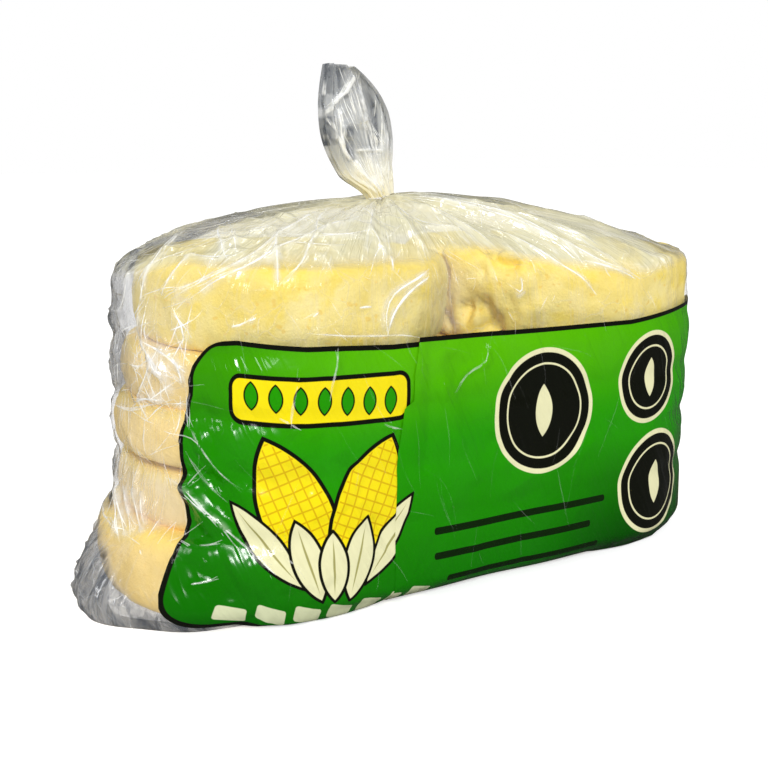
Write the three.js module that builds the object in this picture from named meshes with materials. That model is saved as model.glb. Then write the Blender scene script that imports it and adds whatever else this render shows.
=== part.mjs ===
// A clear film bag of maize arepas. Two stacks of five stand side by side in it, and the film is
// gathered into a neck above them, with its flattened end left standing as a tail.
// Millimetres, +Z up. The printed side faces -Y, and the bag stands on Z = 0.
import * as THREE from 'three';

// The stacks inside, which give the bag its form
const stackRadius = 54;
const stackOffset = 54;
const seamHeights = [27, 45, 63, 82];
const seamHalfHeight = 3.4;
const seamDepth = { left: 1.6, right: 1.3, side: 0.5 };

// The wall of film round them
const filmSlack = 0.8;
const shoulderHeight = 96;
const shoulderInset = 1.8;
const shoulderStart = 80;
const footInset = 8;
const footHeight = 8;
const middleHollow = 1.9;
const middleHollowWidth = 20;
const wallRipple = 0.32;

// The lowest arepa on the left sticks out, and the spare film lies round its foot
const skirtReach = 18;
const skirtDirection = (-170 * Math.PI) / 180;
const skirtSpread = (38 * Math.PI) / 180;
const skirtFlatTo = 6;
const skirtTop = 39;
const skirtRipple = 1.1;

// The loose top, drawn in to the neck
const neckX = -15.6;
const neckRadius = 4.1;
const neckHeight = 123;
const neckTilt = 0.9;
const domeFullness = { left: 0.34, right: 0.5 };
const domeSwell = { left: 0.25, right: 0.4 };
const domePleat = 1.0;
const neckPleat = 0.45;

// The tail above the neck
const tailHeight = 42.3;
const tailLeftReach = 19.3;
const tailLeftFullAt = 0.7;
const tailLeftReturn = 2.1;
const tailRightCut = 14.6;
const tailHalfThickness = 4;
const tailTopSlope = 0.1;
const tailFold = 1.6;
const tailFoldPitch = 5.2;

// How finely the surface is drawn
const ringPoints = 84;
const wallHeights = [
  0, 1.5, 4, 8, 12, 16, 20, 23.6, 27, 30.4, 34, 38, 41.6, 45, 48.4, 52,
  56, 59.6, 63, 66.4, 70, 74, 78.6, 82, 85.4, 89, 92.5, 96,
];
const domeShares = [0.03, 0.07, 0.12, 0.19, 0.28, 0.38, 0.49, 0.6, 0.7, 0.79, 0.87, 0.94, 1];
const tailShares = [0.05, 0.11, 0.18, 0.27, 0.38, 0.5, 0.62, 0.73, 0.83, 0.92, 1];

function mix(from, to, share) {
  return from + (to - from) * share;
}

function smoothStep(low, high, value) {
  const share = Math.min(1, Math.max(0, (value - low) / (high - low)));
  return share * share * (3 - 2 * share);
}

function angleBetween(first, second) {
  const turn = Math.abs(first - second) % (2 * Math.PI);
  return Math.min(turn, 2 * Math.PI - turn);
}

// One station of the outline: where its outward line starts, which way that line points, and how
// far round the outline it stands. The walk starts at the right-hand tip and goes by way of the back.
function outlineStation(step) {
  const quarter = (Math.PI / 2) * stackRadius;
  const straight = 2 * stackOffset;
  const whole = 4 * quarter + 2 * straight;
  const travelled = (step / ringPoints) * whole;
  let direction = 0;
  let x = 0;
  if (travelled < quarter) {
    x = stackOffset;
    direction = travelled / stackRadius;
  } else if (travelled < quarter + straight) {
    x = stackOffset - (travelled - quarter);
    direction = Math.PI / 2;
  } else if (travelled < 3 * quarter + straight) {
    x = -stackOffset;
    direction = (travelled - straight) / stackRadius;
  } else if (travelled < 3 * quarter + 2 * straight) {
    x = -stackOffset + (travelled - 3 * quarter - straight);
    direction = (3 * Math.PI) / 2;
  } else {
    x = stackOffset;
    direction = (travelled - 2 * straight) / stackRadius;
  }
  return { x, direction, travelled, turn: (2 * Math.PI * step) / ringPoints };
}

// How far the wall stands from the line through the middle of both stacks
function wallReach(station, height) {
  const left = Math.max(0, -Math.cos(station.direction));
  const right = Math.max(0, Math.cos(station.direction));
  const side = 1 - Math.max(left, right);
  let reach = stackRadius + filmSlack;

  const depth = seamDepth.left * left + seamDepth.right * right + seamDepth.side * side;
  for (const seam of seamHeights) {
    reach -= depth * Math.exp(-(((height - seam) / seamHalfHeight) ** 2));
  }

  const between = Math.exp(-((station.x / middleHollowWidth) ** 2));
  reach -= middleHollow * between * mix(0.4, 1, smoothStep(55, shoulderHeight, height));
  reach -= shoulderInset * smoothStep(shoulderStart, shoulderHeight, height);

  const skirtTurn = angleBetween(station.direction, skirtDirection) / skirtSpread;
  const skirt = Math.exp(-(skirtTurn ** 2));
  const skirtRise = 1 - smoothStep(skirtFlatTo, skirtTop, height);
  reach += skirtReach * skirt * skirtRise;
  reach += skirtRipple * skirt * skirtRise * Math.sin(station.travelled / 4.1 + height / 9);

  const foot = Math.max(0, 1 - height / footHeight);
  reach -= footInset * foot * foot * (1 - 0.8 * skirt);

  const slow = Math.sin(station.travelled / 11 + height / 13);
  const quick = Math.sin(station.travelled / 6.3 - height / 17 + 1.7);
  return reach + wallRipple * (slow + quick) * mix(0.6, 1.6, left);
}

function wallPoint(station, height) {
  const reach = wallReach(station, height);
  return [
    station.x + reach * Math.cos(station.direction),
    reach * Math.sin(station.direction),
    height,
  ];
}

// The film between the shoulder and the neck. It rises fast at the shoulder and then flattens.
function domePoint(station, share) {
  const start = wallPoint(station, shoulderHeight);
  const turn = station.turn;
  const leftShare = (1 - Math.cos(turn)) / 2;
  const fullness = mix(domeFullness.right, domeFullness.left, leftShare);
  const swell = mix(domeSwell.right, domeSwell.left, leftShare);
  const rise = share ** fullness * (1 + swell * share * (1 - share));
  const pleats = 0.6 * Math.sin(11 * turn + 0.6) + 0.4 * Math.sin(7 * turn + 2.1);
  const radius = neckRadius + neckPleat * Math.sin(9 * turn);
  const top = neckHeight + neckTilt * Math.cos(turn);
  return [
    mix(start[0], neckX + radius * Math.cos(turn), share),
    mix(start[1], radius * Math.sin(turn), share),
    mix(start[2], top, rise) + domePleat * pleats * Math.sin(Math.PI * share),
  ];
}

// The tail spreads to the left as it rises, and its right-hand corner is cut away
function tailPoint(station, share) {
  const turn = station.turn;
  const grown = 1 - Math.max(0, 1 - share / tailLeftFullAt) ** 2.6;
  const returned = Math.max(0, (share - tailLeftFullAt) / (1 - tailLeftFullAt)) ** 1.5;
  const leftEdge = neckX - neckRadius - tailLeftReach * grown + tailLeftReturn * returned;
  const rightEdge = neckX + neckRadius - tailRightCut * share ** 4.5;
  const middle = (leftEdge + rightEdge) / 2;
  const halfWidth = (rightEdge - leftEdge) / 2;
  const x = middle + halfWidth * Math.cos(turn);
  const folded = smoothStep(0, 0.3, share);
  const wave = (2 / Math.PI) * Math.asin(Math.sin((2 * Math.PI * (x - leftEdge)) / tailFoldPitch));
  const rounded = Math.sign(Math.sin(turn)) * Math.abs(Math.sin(turn)) ** 0.85;
  const slope = neckTilt / neckRadius - (neckTilt / neckRadius + tailTopSlope) * share;
  return [
    x,
    tailHalfThickness * rounded + tailFold * folded * wave,
    neckHeight + tailHeight * share + slope * (x - middle),
  ];
}

function bagGeometry() {
  const stations = Array.from({ length: ringPoints }, (_, step) => outlineStation(step));
  const rings = [
    ...wallHeights.map((height) => stations.map((station) => wallPoint(station, height))),
    ...domeShares.map((share) => stations.map((station) => domePoint(station, share))),
    ...tailShares.map((share) => stations.map((station) => tailPoint(station, share))),
  ];
  const positions = rings.flat(2);
  const triangles = [];
  for (let ring = 0; ring + 1 < rings.length; ring += 1) {
    for (let step = 0; step < ringPoints; step += 1) {
      const next = (step + 1) % ringPoints;
      const low = ring * ringPoints;
      const high = low + ringPoints;
      triangles.push(low + step, low + next, high + next);
      triangles.push(low + step, high + next, high + step);
    }
  }

  // The flat base is a fan about its middle
  const centre = positions.length / 3;
  positions.push(0, 0, 0);
  for (let step = 0; step < ringPoints; step += 1) {
    triangles.push(centre, (step + 1) % ringPoints, step);
  }

  // The tail's top joins each point at the back to the one in front of it
  const last = (rings.length - 1) * ringPoints;
  for (let back = 0; back < ringPoints / 2; back += 1) {
    const front = (ringPoints - back) % ringPoints;
    const nextFront = ringPoints - back - 1;
    if (back + 1 !== nextFront) {
      triangles.push(last + back, last + back + 1, last + nextFront);
    }
    if (back !== 0) {
      triangles.push(last + back, last + nextFront, last + front);
    }
  }

  const geometry = new THREE.BufferGeometry();
  geometry.setAttribute('position', new THREE.Float32BufferAttribute(positions, 3));
  geometry.setIndex(triangles);
  geometry.computeBoundingBox();
  const middle = geometry.boundingBox.getCenter(new THREE.Vector3());
  geometry.translate(-middle.x, -middle.y, 0);
  geometry.computeVertexNormals();
  return geometry;
}

const film = new THREE.MeshStandardMaterial({
  name: 'clear_film',
  color: 0xe9d9a0,
  roughness: 0.3,
  metalness: 0,
});

const bag = new THREE.Mesh(bagGeometry(), film);
bag.name = 'film_bag';

const group = new THREE.Group();
group.name = 'bag_of_arepas';
group.add(bag);

export default group;
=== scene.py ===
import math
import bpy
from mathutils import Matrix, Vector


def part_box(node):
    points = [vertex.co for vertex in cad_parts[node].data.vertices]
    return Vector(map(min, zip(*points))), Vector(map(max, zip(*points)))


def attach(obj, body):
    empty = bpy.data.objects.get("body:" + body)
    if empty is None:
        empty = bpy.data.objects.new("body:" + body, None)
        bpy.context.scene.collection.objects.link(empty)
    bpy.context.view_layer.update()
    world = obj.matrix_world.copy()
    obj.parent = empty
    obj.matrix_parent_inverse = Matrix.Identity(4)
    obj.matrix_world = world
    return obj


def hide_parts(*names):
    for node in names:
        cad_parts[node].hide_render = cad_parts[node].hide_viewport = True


bl_info = {
    "name": "Bag of Arepas",
    "version": (1, 0, 0),
    "blender": (4, 5, 0),
    "location": "3D View > Sidebar > Arepa Bag",
    "description": "Dresses the packed bag with clear film, a printed panel and ten arepas",
    "category": "Object",
}

import bpy
import numpy as np
from mathutils.bvhtree import BVHTree

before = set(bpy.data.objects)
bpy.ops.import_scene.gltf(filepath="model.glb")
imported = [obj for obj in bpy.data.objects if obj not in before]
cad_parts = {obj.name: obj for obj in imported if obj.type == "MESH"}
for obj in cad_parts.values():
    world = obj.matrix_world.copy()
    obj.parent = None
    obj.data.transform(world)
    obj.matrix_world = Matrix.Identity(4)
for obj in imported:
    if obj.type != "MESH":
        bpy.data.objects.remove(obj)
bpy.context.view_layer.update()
film_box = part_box("film_bag")

# The form of the bag, in millimetres, as the solid has it
STACK_RADIUS = 54.0
STACK_OFFSET = 54.0
SEAM_HEIGHTS = (27.0, 45.0, 63.0, 82.0)
SEAM_HALF_HEIGHT = 3.4
SEAM_DEPTH_LEFT = 1.6
SEAM_DEPTH_RIGHT = 1.3
SEAM_DEPTH_SIDE = 0.5
FILM_SLACK = 0.8
SHOULDER_HEIGHT = 96.0
SHOULDER_INSET = 1.8
SHOULDER_START = 80.0
FOOT_INSET = 8.0
FOOT_HEIGHT = 8.0
MIDDLE_HOLLOW = 1.9
MIDDLE_HOLLOW_WIDTH = 20.0
WALL_RIPPLE = 0.32
SKIRT_REACH = 18.0
SKIRT_DIRECTION = math.radians(-170.0)
SKIRT_SPREAD = math.radians(38.0)
SKIRT_FLAT_TO = 6.0
SKIRT_TOP = 39.0
SKIRT_RIPPLE = 1.1
NECK_X = -15.6
NECK_RADIUS = 4.1
NECK_HEIGHT = 123.0
NECK_TILT = 0.9
DOME_FULLNESS_LEFT = 0.34
DOME_FULLNESS_RIGHT = 0.5
DOME_SWELL_LEFT = 0.25
DOME_SWELL_RIGHT = 0.4
DOME_PLEAT = 1.0
TAIL_HEIGHT = 42.3
TAIL_LEFT_REACH = 19.3
TAIL_LEFT_FULL_AT = 0.7
TAIL_LEFT_RETURN = 2.1
TAIL_RIGHT_CUT = 14.6
TAIL_TOP_SLOPE = 0.1

# How far the solid was moved to stand over the middle of its box
SHIFT_X = 9.3233
SHIFT_Y = 0.0940

# The walk round the bag starts at the right-hand tip and goes by way of the back
QUARTER = math.pi / 2 * STACK_RADIUS
STRAIGHT = 2 * STACK_OFFSET
WHOLE = 4 * QUARTER + 2 * STRAIGHT
FRONT_MIDDLE = 3 * QUARTER + STRAIGHT + STACK_OFFSET

# The dome's rows are counted as if it were this many millimetres of wall more
DOME_SPAN = 80.0
DOME_ROW_POWER = 1.6

MM = 0.001


def mix(start, end, share):
    return start + (end - start) * share


def smooth_step(low, high, value):
    share = np.clip((value - low) / (high - low), 0.0, 1.0)
    return share * share * (3 - 2 * share)


def linear(red, green, blue, alpha=1.0):
    """A screen colour of 0 to 255 as the linear colour that a material wants"""
    values = []
    for part in (red, green, blue):
        share = part / 255.0
        if share <= 0.04045:
            values.append(share / 12.92)
        else:
            values.append(((share + 0.055) / 1.055) ** 2.4)
    return (*values, alpha)


# The loft of the bag, in millimetres and before it is moved over its box

def outline(walk):
    """Where each station's outward line starts, and which way it points"""
    walk = np.mod(walk, WHOLE)
    stages = [
        walk < QUARTER,
        walk < QUARTER + STRAIGHT,
        walk < 3 * QUARTER + STRAIGHT,
        walk < 3 * QUARTER + 2 * STRAIGHT,
    ]
    starts = [
        np.full_like(walk, STACK_OFFSET),
        STACK_OFFSET - (walk - QUARTER),
        np.full_like(walk, -STACK_OFFSET),
        -STACK_OFFSET + (walk - 3 * QUARTER - STRAIGHT),
    ]
    directions = [
        walk / STACK_RADIUS,
        np.full_like(walk, math.pi / 2),
        (walk - STRAIGHT) / STACK_RADIUS,
        np.full_like(walk, 3 * math.pi / 2),
    ]
    x = np.select(stages, starts, STACK_OFFSET)
    direction = np.select(stages, directions, (walk - 2 * STRAIGHT) / STACK_RADIUS)
    return x, direction


def wall_reach(walk, height):
    x, direction = outline(walk)
    left = np.maximum(0.0, -np.cos(direction))
    right = np.maximum(0.0, np.cos(direction))
    side = 1 - np.maximum(left, right)
    reach = np.full_like(direction, STACK_RADIUS + FILM_SLACK)
    depth = SEAM_DEPTH_LEFT * left + SEAM_DEPTH_RIGHT * right + SEAM_DEPTH_SIDE * side
    for seam in SEAM_HEIGHTS:
        reach = reach - depth * np.exp(-(((height - seam) / SEAM_HALF_HEIGHT) ** 2))
    between = np.exp(-((x / MIDDLE_HOLLOW_WIDTH) ** 2))
    reach = reach - MIDDLE_HOLLOW * between * mix(0.4, 1, smooth_step(55, SHOULDER_HEIGHT, height))
    reach = reach - SHOULDER_INSET * smooth_step(SHOULDER_START, SHOULDER_HEIGHT, height)
    apart = np.mod(np.abs(direction - SKIRT_DIRECTION), 2 * math.pi)
    apart = np.minimum(apart, 2 * math.pi - apart)
    skirt = np.exp(-((apart / SKIRT_SPREAD) ** 2))
    rise = 1 - smooth_step(SKIRT_FLAT_TO, SKIRT_TOP, height)
    reach = reach + SKIRT_REACH * skirt * rise
    reach = reach + SKIRT_RIPPLE * skirt * rise * np.sin(np.mod(walk, WHOLE) / 4.1 + height / 9)
    foot = np.maximum(0.0, 1 - height / FOOT_HEIGHT)
    reach = reach - FOOT_INSET * foot * foot * (1 - 0.8 * skirt)
    slow = np.sin(np.mod(walk, WHOLE) / 11 + height / 13)
    quick = np.sin(np.mod(walk, WHOLE) / 6.3 - height / 17 + 1.7)
    return reach + WALL_RIPPLE * (slow + quick) * mix(0.6, 1.6, left)


def wall_point(walk, height):
    x, direction = outline(walk)
    reach = wall_reach(walk, height)
    return np.stack([x + reach * np.cos(direction), reach * np.sin(direction), height], axis=-1)


def dome_point(walk, share):
    start = wall_point(walk, np.full_like(share, SHOULDER_HEIGHT))
    turn = 2 * math.pi * np.mod(walk, WHOLE) / WHOLE
    left = (1 - np.cos(turn)) / 2
    fullness = mix(DOME_FULLNESS_RIGHT, DOME_FULLNESS_LEFT, left)
    swell = mix(DOME_SWELL_RIGHT, DOME_SWELL_LEFT, left)
    rise = share ** fullness * (1 + swell * share * (1 - share))
    waves = 0.6 * np.sin(11 * turn + 0.6) + 0.4 * np.sin(7 * turn + 2.1)
    radius = neck_radius(turn)
    top = NECK_HEIGHT + NECK_TILT * np.cos(turn)
    x = mix(start[..., 0], NECK_X + radius * np.cos(turn), share)
    y = mix(start[..., 1], radius * np.sin(turn), share)
    z = mix(start[..., 2], top, rise) + DOME_PLEAT * waves * np.sin(math.pi * np.minimum(share, 1))
    return np.stack([x, y, z], axis=-1)


def fold_wave(turn, count, jitter, seed):
    """A wave of flat flanks and sharp ridges, from -1 to 1, with uneven steps between its ridges"""
    bend = jitter * (np.sin(2 * turn + seed) + np.sin(3 * turn + 2.3 * seed) + np.sin(5 * turn + seed))
    return 2 / math.pi * np.arcsin(np.sin(count * turn + bend + seed))


def neck_radius(turn):
    return NECK_RADIUS + 0.45 * np.sin(9 * turn) + 0.45 * fold_wave(turn, 19, 0.7, 1.4)


def bag_point(walk, level):
    """A point of the loft: level is the height on the wall, and past the shoulder it counts on"""
    walk, level = np.broadcast_arrays(np.asarray(walk, float), np.asarray(level, float))
    wall = wall_point(walk, np.minimum(level, SHOULDER_HEIGHT))
    past = np.clip((level - SHOULDER_HEIGHT) / DOME_SPAN, 0.0, 1.02)
    dome = dome_point(walk, past**DOME_ROW_POWER)
    return np.where((level > SHOULDER_HEIGHT)[..., None], dome, wall)


def bag_normal(walk, level):
    step = 0.7
    round_way = bag_point(walk + step, level) - bag_point(walk - step, level)
    up_way = bag_point(walk, level + step) - bag_point(walk, level - step)
    normal = np.cross(round_way, up_way)
    return normal / np.maximum(np.linalg.norm(normal, axis=-1, keepdims=True), 1e-9)


# Folds of the film that the eye catches: height and width of the ridge in millimetres, how white its crest
# is (whitened film with painted highlights), and its path as distances along the front and levels up the
# bag
MAIN_FOLDS = (
    # Diagonals over the left part of the print
    (1.2, 4.0, 0.75, ((-114, 43), (-107, 42), (-99, 36), (-90, 28), (-80, 18))),
    (0.7, 2.6, 0.90, ((-106, 40), (-102, 37), (-97, 34), (-93, 30))),
    (1.3, 5.0, 0.0, ((-141, 56), (-120, 51), (-108, 42), (-83, 10))),
    (-1.4, 5.5, 0.0, ((-106, 52), (-94, 38), (-80, 14))),
    (-1.2, 5.0, 0.0, ((-106, 34), (-98, 24), (-90, 10))),
    (-1.1, 5.0, 0.0, ((-104, 70), (-90, 52), (-74, 34))),
    (1.0, 4.0, 0.30, ((-106, 62), (-102, 57), (-96, 48), (-89, 42))),
    (0.8, 3.0, 0.35, ((-106, 53), (-101, 44), (-94, 39))),
    (0.6, 2.6, 0.60, ((-107, 26), (-102, 24), (-99, 22))),
    (0.5, 2.4, 0.60, ((-101, 26), (-98, 26), (-95, 27))),
    (0.5, 2.4, 0.40, ((-102, 16), (-99, 16), (-95, 17))),
    (0.6, 2.6, 0.55, ((-85, 24), (-82, 20), (-80, 18))),
    (0.7, 3.0, 0.45, ((-80, 26), (-76, 22), (-72, 17))),
    (0.5, 2.4, 0.60, ((-79, 64), (-76, 63), (-74, 60), (-71, 60))),
    (0.5, 2.4, 0.50, ((-47, 60), (-44, 58), (-42, 57))),
    (0.7, 3.0, 0.30, ((-72, 76), (-73, 72), (-75, 66), (-75, 60))),
    (0.7, 2.6, 0.40, ((-61, 84), (-61, 80), (-63, 74), (-64, 70))),
    (0.6, 2.4, 0.45, ((-8, 80), (-8, 74), (-17, 72), (-20, 66))),
    (-0.9, 4.5, 0.0, ((-30, 85), (-30, 66), (-31, 40))),
    (1.1, 6.0, 0.0, ((-27, 72), (-21, 54), (-12, 34))),
    (-1.1, 6.0, 0.0, ((-24, 80), (-14, 60), (-4, 44))),
    (-1.0, 5.0, 0.0, ((-66, 60), (-52, 40), (-44, 18))),
    (0.9, 6.0, 0.0, ((38, 44), (20, 38), (-4, 30))),
    # The bunch that hangs over the bottom arepa's edge
    (1.0, 2.6, 1.00, ((-144, 36), (-133, 30), (-125, 24))),
    (1.0, 2.6, 1.00, ((-137, 37), (-129, 31), (-124, 26))),
    (0.9, 2.4, 0.95, ((-130, 38), (-125, 32), (-121, 26))),
    (0.9, 2.4, 0.90, ((-126, 38), (-123, 32), (-120, 28))),
    (0.8, 2.2, 0.80, ((-157, 24), (-135, 26), (-128, 24))),
    (0.8, 2.4, 0.85, ((-150, 36), (-138, 31), (-126, 23))),
    (0.8, 2.2, 0.70, ((-149, 60), (-141, 60), (-130, 62), (-116, 66), (-109, 68))),
    # Crumples of the left end
    (1.4, 3.4, 1.00, ((-124, 93), (-123, 84), (-115, 78), (-111, 73), (-110, 68))),
    (1.2, 3.0, 1.00, ((-111, 68), (-118, 68), (-130, 64))),
    (1.1, 2.6, 0.95, ((-121, 84), (-113, 82), (-107, 78), (-104, 76))),
    (0.9, 2.2, 0.85, ((-110, 82), (-106, 78), (-106, 72))),
    (1.0, 2.4, 0.90, ((-119, 83), (-119, 80), (-114, 76), (-110, 74))),
    (1.0, 2.4, 0.90, ((-113, 85), (-114, 81), (-116, 76), (-125, 66))),
    (0.6, 1.8, 0.60, ((-104, 91), (-104, 84))),
    (1.0, 2.6, 0.90, ((-140, 130), (-124, 112), (-123, 97), (-124, 93))),
    (0.9, 2.2, 0.80, ((-149, 134), (-134, 126), (-122, 112))),
    (1.0, 2.6, 0.80, ((-112, 118), (-112, 110), (-112, 100), (-114, 96))),
    (0.8, 2.2, 0.80, ((-131, 104), (-131, 96), (-133, 92), (-139, 90))),
    # Long lines over the left arepa, up to the neck
    (0.9, 2.6, 0.90, ((-114, 94), (-101, 97), (-89, 110), (-83, 124), (-75, 138), (-57, 150))),
    (0.9, 2.4, 0.85, ((-113, 96), (-103, 100), (-93, 111), (-90, 120), (-90, 137), (-91, 156))),
    (0.6, 2.0, 0.70, ((-111, 96), (-104, 98), (-95, 106), (-88, 120))),
    (0.8, 2.2, 1.00, ((-93, 136), (-81, 116), (-78, 100))),
    (0.7, 2.0, 0.80, ((-78, 100), (-74, 108), (-73, 116), (-75, 133), (-92, 158))),
    (0.9, 2.8, 1.00, ((-87, 118), (-88, 130), (-83, 114), (-87, 118))),
    (0.6, 1.8, 0.70, ((-113, 116), (-103, 114), (-96, 116))),
    (0.6, 1.8, 0.60, ((-88, 132), (-69, 132), (-52, 132))),
    (0.9, 2.4, 0.95, ((-131, 139), (-106, 124), (-98, 114))),
    (0.8, 2.2, 0.80, ((-118, 136), (-102, 126), (-97, 118))),
    (0.7, 2.0, 0.80, ((-106, 134), (-103, 136), (-99, 138))),
    (0.7, 2.0, 0.60, ((-91, 134), (-91, 146), (-97, 158))),
    (0.5, 1.8, 0.55, ((-85, 127), (-72, 125), (-61, 125))),
    (0.5, 1.8, 0.50, ((-75, 130), (-65, 132), (-53, 134))),
    (1.2, 2.8, 0.70, ((-53, 158), (-52, 145), (-52, 132))),
    (0.7, 2.0, 0.50, ((-62, 155), (-73, 140), (-76, 120))),
    # The bent pane by the right end of the left arepa
    (0.8, 1.9, 1.00, ((-29, 106), (-38, 99), (-44, 96), (-46, 90), (-45, 86))),
    (0.8, 1.9, 1.00, ((-45, 86), (-42, 93), (-30, 102))),
    (0.5, 1.6, 0.90, ((-42, 117), (-42, 106))),
    (0.4, 1.6, 0.70, ((-54, 94), (-49, 94))),
    (0.5, 1.8, 0.80, ((-92, 90), (-87, 90), (-84, 93))),
    (0.4, 1.6, 0.60, ((-68, 92), (-66, 94))),
    (0.4, 1.5, 0.55, ((-70, 88), (-54, 86), (-34, 85))),
    # The fan over the right arepa
    (0.9, 2.2, 1.00, ((36, 172), (38, 161), (40, 146), (34, 126), (32, 104))),
    (0.9, 2.2, 1.00, ((33, 168), (33, 142), (33, 125), (40, 106), (54, 96))),
    (0.7, 1.9, 0.90, ((18, 138), (19, 124), (22, 106), (35, 92))),
    (0.6, 1.8, 0.85, ((34, 108), (43, 101), (52, 96))),
    (0.8, 2.0, 0.70, ((-36, 160), (-23, 142), (-6, 132))),
    (0.7, 2.0, 0.55, ((-17, 165), (-5, 146), (2, 131), (3, 117))),
    (0.6, 1.6, 0.90, ((5, 100), (7, 95), (5, 93), (3, 96))),
    (1.2, 3.5, 0.0, ((-30, 150), (-30, 108), (-31, 96), (-30, 84))),
)


# Patches of small creases: how many, from where to where along the bag from the middle of its front,
# between which levels, their length, ridge height and width, their lean and its spread in degrees, and how
# white they are (whitened film with painted highlights)
CREASE_PATCHES = (
    (170, (-190, -104), (26, 104), (5, 20), (0.4, 1.2), (1.4, 3.0), 75, 40, 0.85),
    (60, (-128, -104), (62, 92), (4, 12), (0.3, 0.8), (1.2, 2.4), 70, 70, 1.00),
    (60, (-185, -116), (0, 26), (3, 8), (0.6, 1.6), (1.4, 2.8), 60, 80, 0.80),
    (80, (-190, -96), (100, 150), (6, 26), (0.3, 0.9), (1.0, 2.4), 70, 40, 0.75),
    (60, (-96, 30), (110, 165), (6, 26), (0.3, 0.8), (1.0, 2.4), 92, 24, 0.50),
    (60, (30, 150), (98, 160), (6, 26), (0.3, 0.8), (1.0, 2.4), 112, 24, 0.50),
    (34, (-104, 60), (84, 108), (3, 9), (0.2, 0.5), (0.9, 1.7), 88, 40, 0.50),
    (60, (-104, 106), (4, 84), (8, 26), (0.15, 0.5), (1.6, 4.0), 110, 30, 0.10),
    (50, (104, 190), (2, 100), (8, 24), (0.1, 0.3), (1.6, 3.4), 90, 45, 0.60),
    (90, (170, 380), (2, 104), (8, 30), (0.3, 0.9), (2.4, 5.0), 90, 60, 0.50),
)


def crease_list():
    """The small creases, each as a middle, a direction along, a direction across and its sizes"""
    chance = np.random.default_rng(11)
    creases = []
    for count, across, levels, lengths, heights, widths, lean, spread, white in CREASE_PATCHES:
        for _ in range(count):
            walk = FRONT_MIDDLE + chance.uniform(*across)
            level = chance.uniform(*levels)
            middle = bag_point(walk, level)
            normal = bag_normal(walk, level)
            level_way = np.cross((0.0, 0.0, 1.0), normal)
            level_way /= max(np.linalg.norm(level_way), 1e-6)
            up_way = np.cross(normal, level_way)
            angle = math.radians(lean + chance.normal() * spread)
            way = math.cos(angle) * level_way + math.sin(angle) * up_way
            creases.append(
                {
                    "middle": middle,
                    "along": way,
                    "across": np.cross(normal, way),
                    "normal": normal,
                    "half_length": chance.uniform(*lengths) / 2,
                    "height": chance.uniform(*heights) * chance.choice((1.0, 1.0, -0.7)),
                    "width": chance.uniform(*widths),
                    "white": white * chance.uniform(0.3, 1.0),
                }
            )
    return creases


def near_path(points, path, width):
    """How near each point is to a path, from 0 to 1 on it, fading out at both ends"""
    path = np.array(path, float)
    legs = np.maximum(np.linalg.norm(np.diff(path, axis=0), axis=1), 1e-6)
    before = np.concatenate([[0.0], np.cumsum(legs)])
    nearness = np.zeros(len(points))
    low = path.min(axis=0) - width
    high = path.max(axis=0) + width
    inside = np.flatnonzero(np.all((points > low) & (points < high), axis=1))
    if not inside.size:
        return nearness
    chosen = points[inside]
    best = np.full(len(chosen), 1e9)
    passed = np.zeros(len(chosen))
    for number, leg in enumerate(legs):
        way = (path[number + 1] - path[number]) / leg
        run = np.clip((chosen - path[number]) @ way, 0.0, leg)
        off = np.linalg.norm(chosen - path[number] - run[:, None] * way, axis=1)
        nearer = off < best
        best = np.where(nearer, off, best)
        passed = np.where(nearer, before[number] + run, passed)
    share = passed / before[-1]
    fade = smooth_step(0.0, 0.12, share) * smooth_step(0.0, 0.12, 1 - share)
    nearness[inside] = np.maximum(0.0, 1 - best / width) * mix(0.25, 1.0, fade)
    return nearness


def thread(path, wander, chance):
    """A path in steps of about three millimetres that wander a little, as places on the loft"""
    path = np.array(path, float)
    corners = bag_point(FRONT_MIDDLE + path[:, 0], path[:, 1])
    legs = np.linalg.norm(np.diff(corners, axis=0), axis=1)
    before = np.concatenate([[0.0], np.cumsum(legs)])
    marks = np.linspace(0.0, before[-1], max(4, int(before[-1] / 2.8) + 1))
    fine = np.stack([np.interp(marks, before, path[:, part]) for part in (0, 1)], axis=1)
    fine += chance.normal(size=fine.shape) * wander
    return fine


def fold_field(points):
    """How far the folds and creases lift each point, and how white the film is along them: whitened film
    with painted highlights
    """
    chance = np.random.default_rng(21)
    lift = np.zeros(len(points))
    white = np.zeros(len(points))
    for height, width, whiteness, path in MAIN_FOLDS:
        fine = thread(path, 0.15, chance)
        near = near_path(points, bag_point(FRONT_MIDDLE + fine[:, 0], fine[:, 1]), width)
        lift += height * near**1.3
        white = np.maximum(white, whiteness * near)
    for crease in crease_list():
        reach = crease["half_length"] + crease["width"]
        inside = np.flatnonzero(np.sum((points - crease["middle"]) ** 2, axis=1) < reach * reach)
        if not inside.size:
            continue
        apart = points[inside] - crease["middle"]
        run = np.abs(apart @ crease["along"]) / crease["half_length"]
        off = np.abs(apart @ crease["across"]) / crease["width"]
        near = np.maximum(0.0, 1 - off) * np.maximum(0.0, 1 - run**2)
        lift[inside] += crease["height"] * near**1.2
        white[inside] = np.maximum(white[inside], 0.8 * crease["white"] * near)
    return lift, white


def neck_pleats(walk, level):
    """Pleats that run up to the neck, stronger the more the film is drawn in"""
    turn = 2 * math.pi * np.mod(walk, WHOLE) / WHOLE
    share = np.clip((level - SHOULDER_HEIGHT) / DOME_SPAN, 0.0, 1.0) ** DOME_ROW_POWER
    fine = fold_wave(turn, 29, 1.1, 0.7) * smooth_step(0.15, 0.8, share)
    coarse = fold_wave(turn, 13, 0.9, 2.9) * smooth_step(0.02, 0.5, share)
    calm = 1 - 0.8 * smooth_step(0.86, 1.0, share)
    lift = (0.75 * fine + 0.9 * coarse) * calm
    # Painted highlights, with whitened film, on the crests of the fine pleats
    white = np.maximum(0.0, fine) ** 4 * smooth_step(0.3, 0.9, share)
    return lift, 0.9 * white


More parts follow.
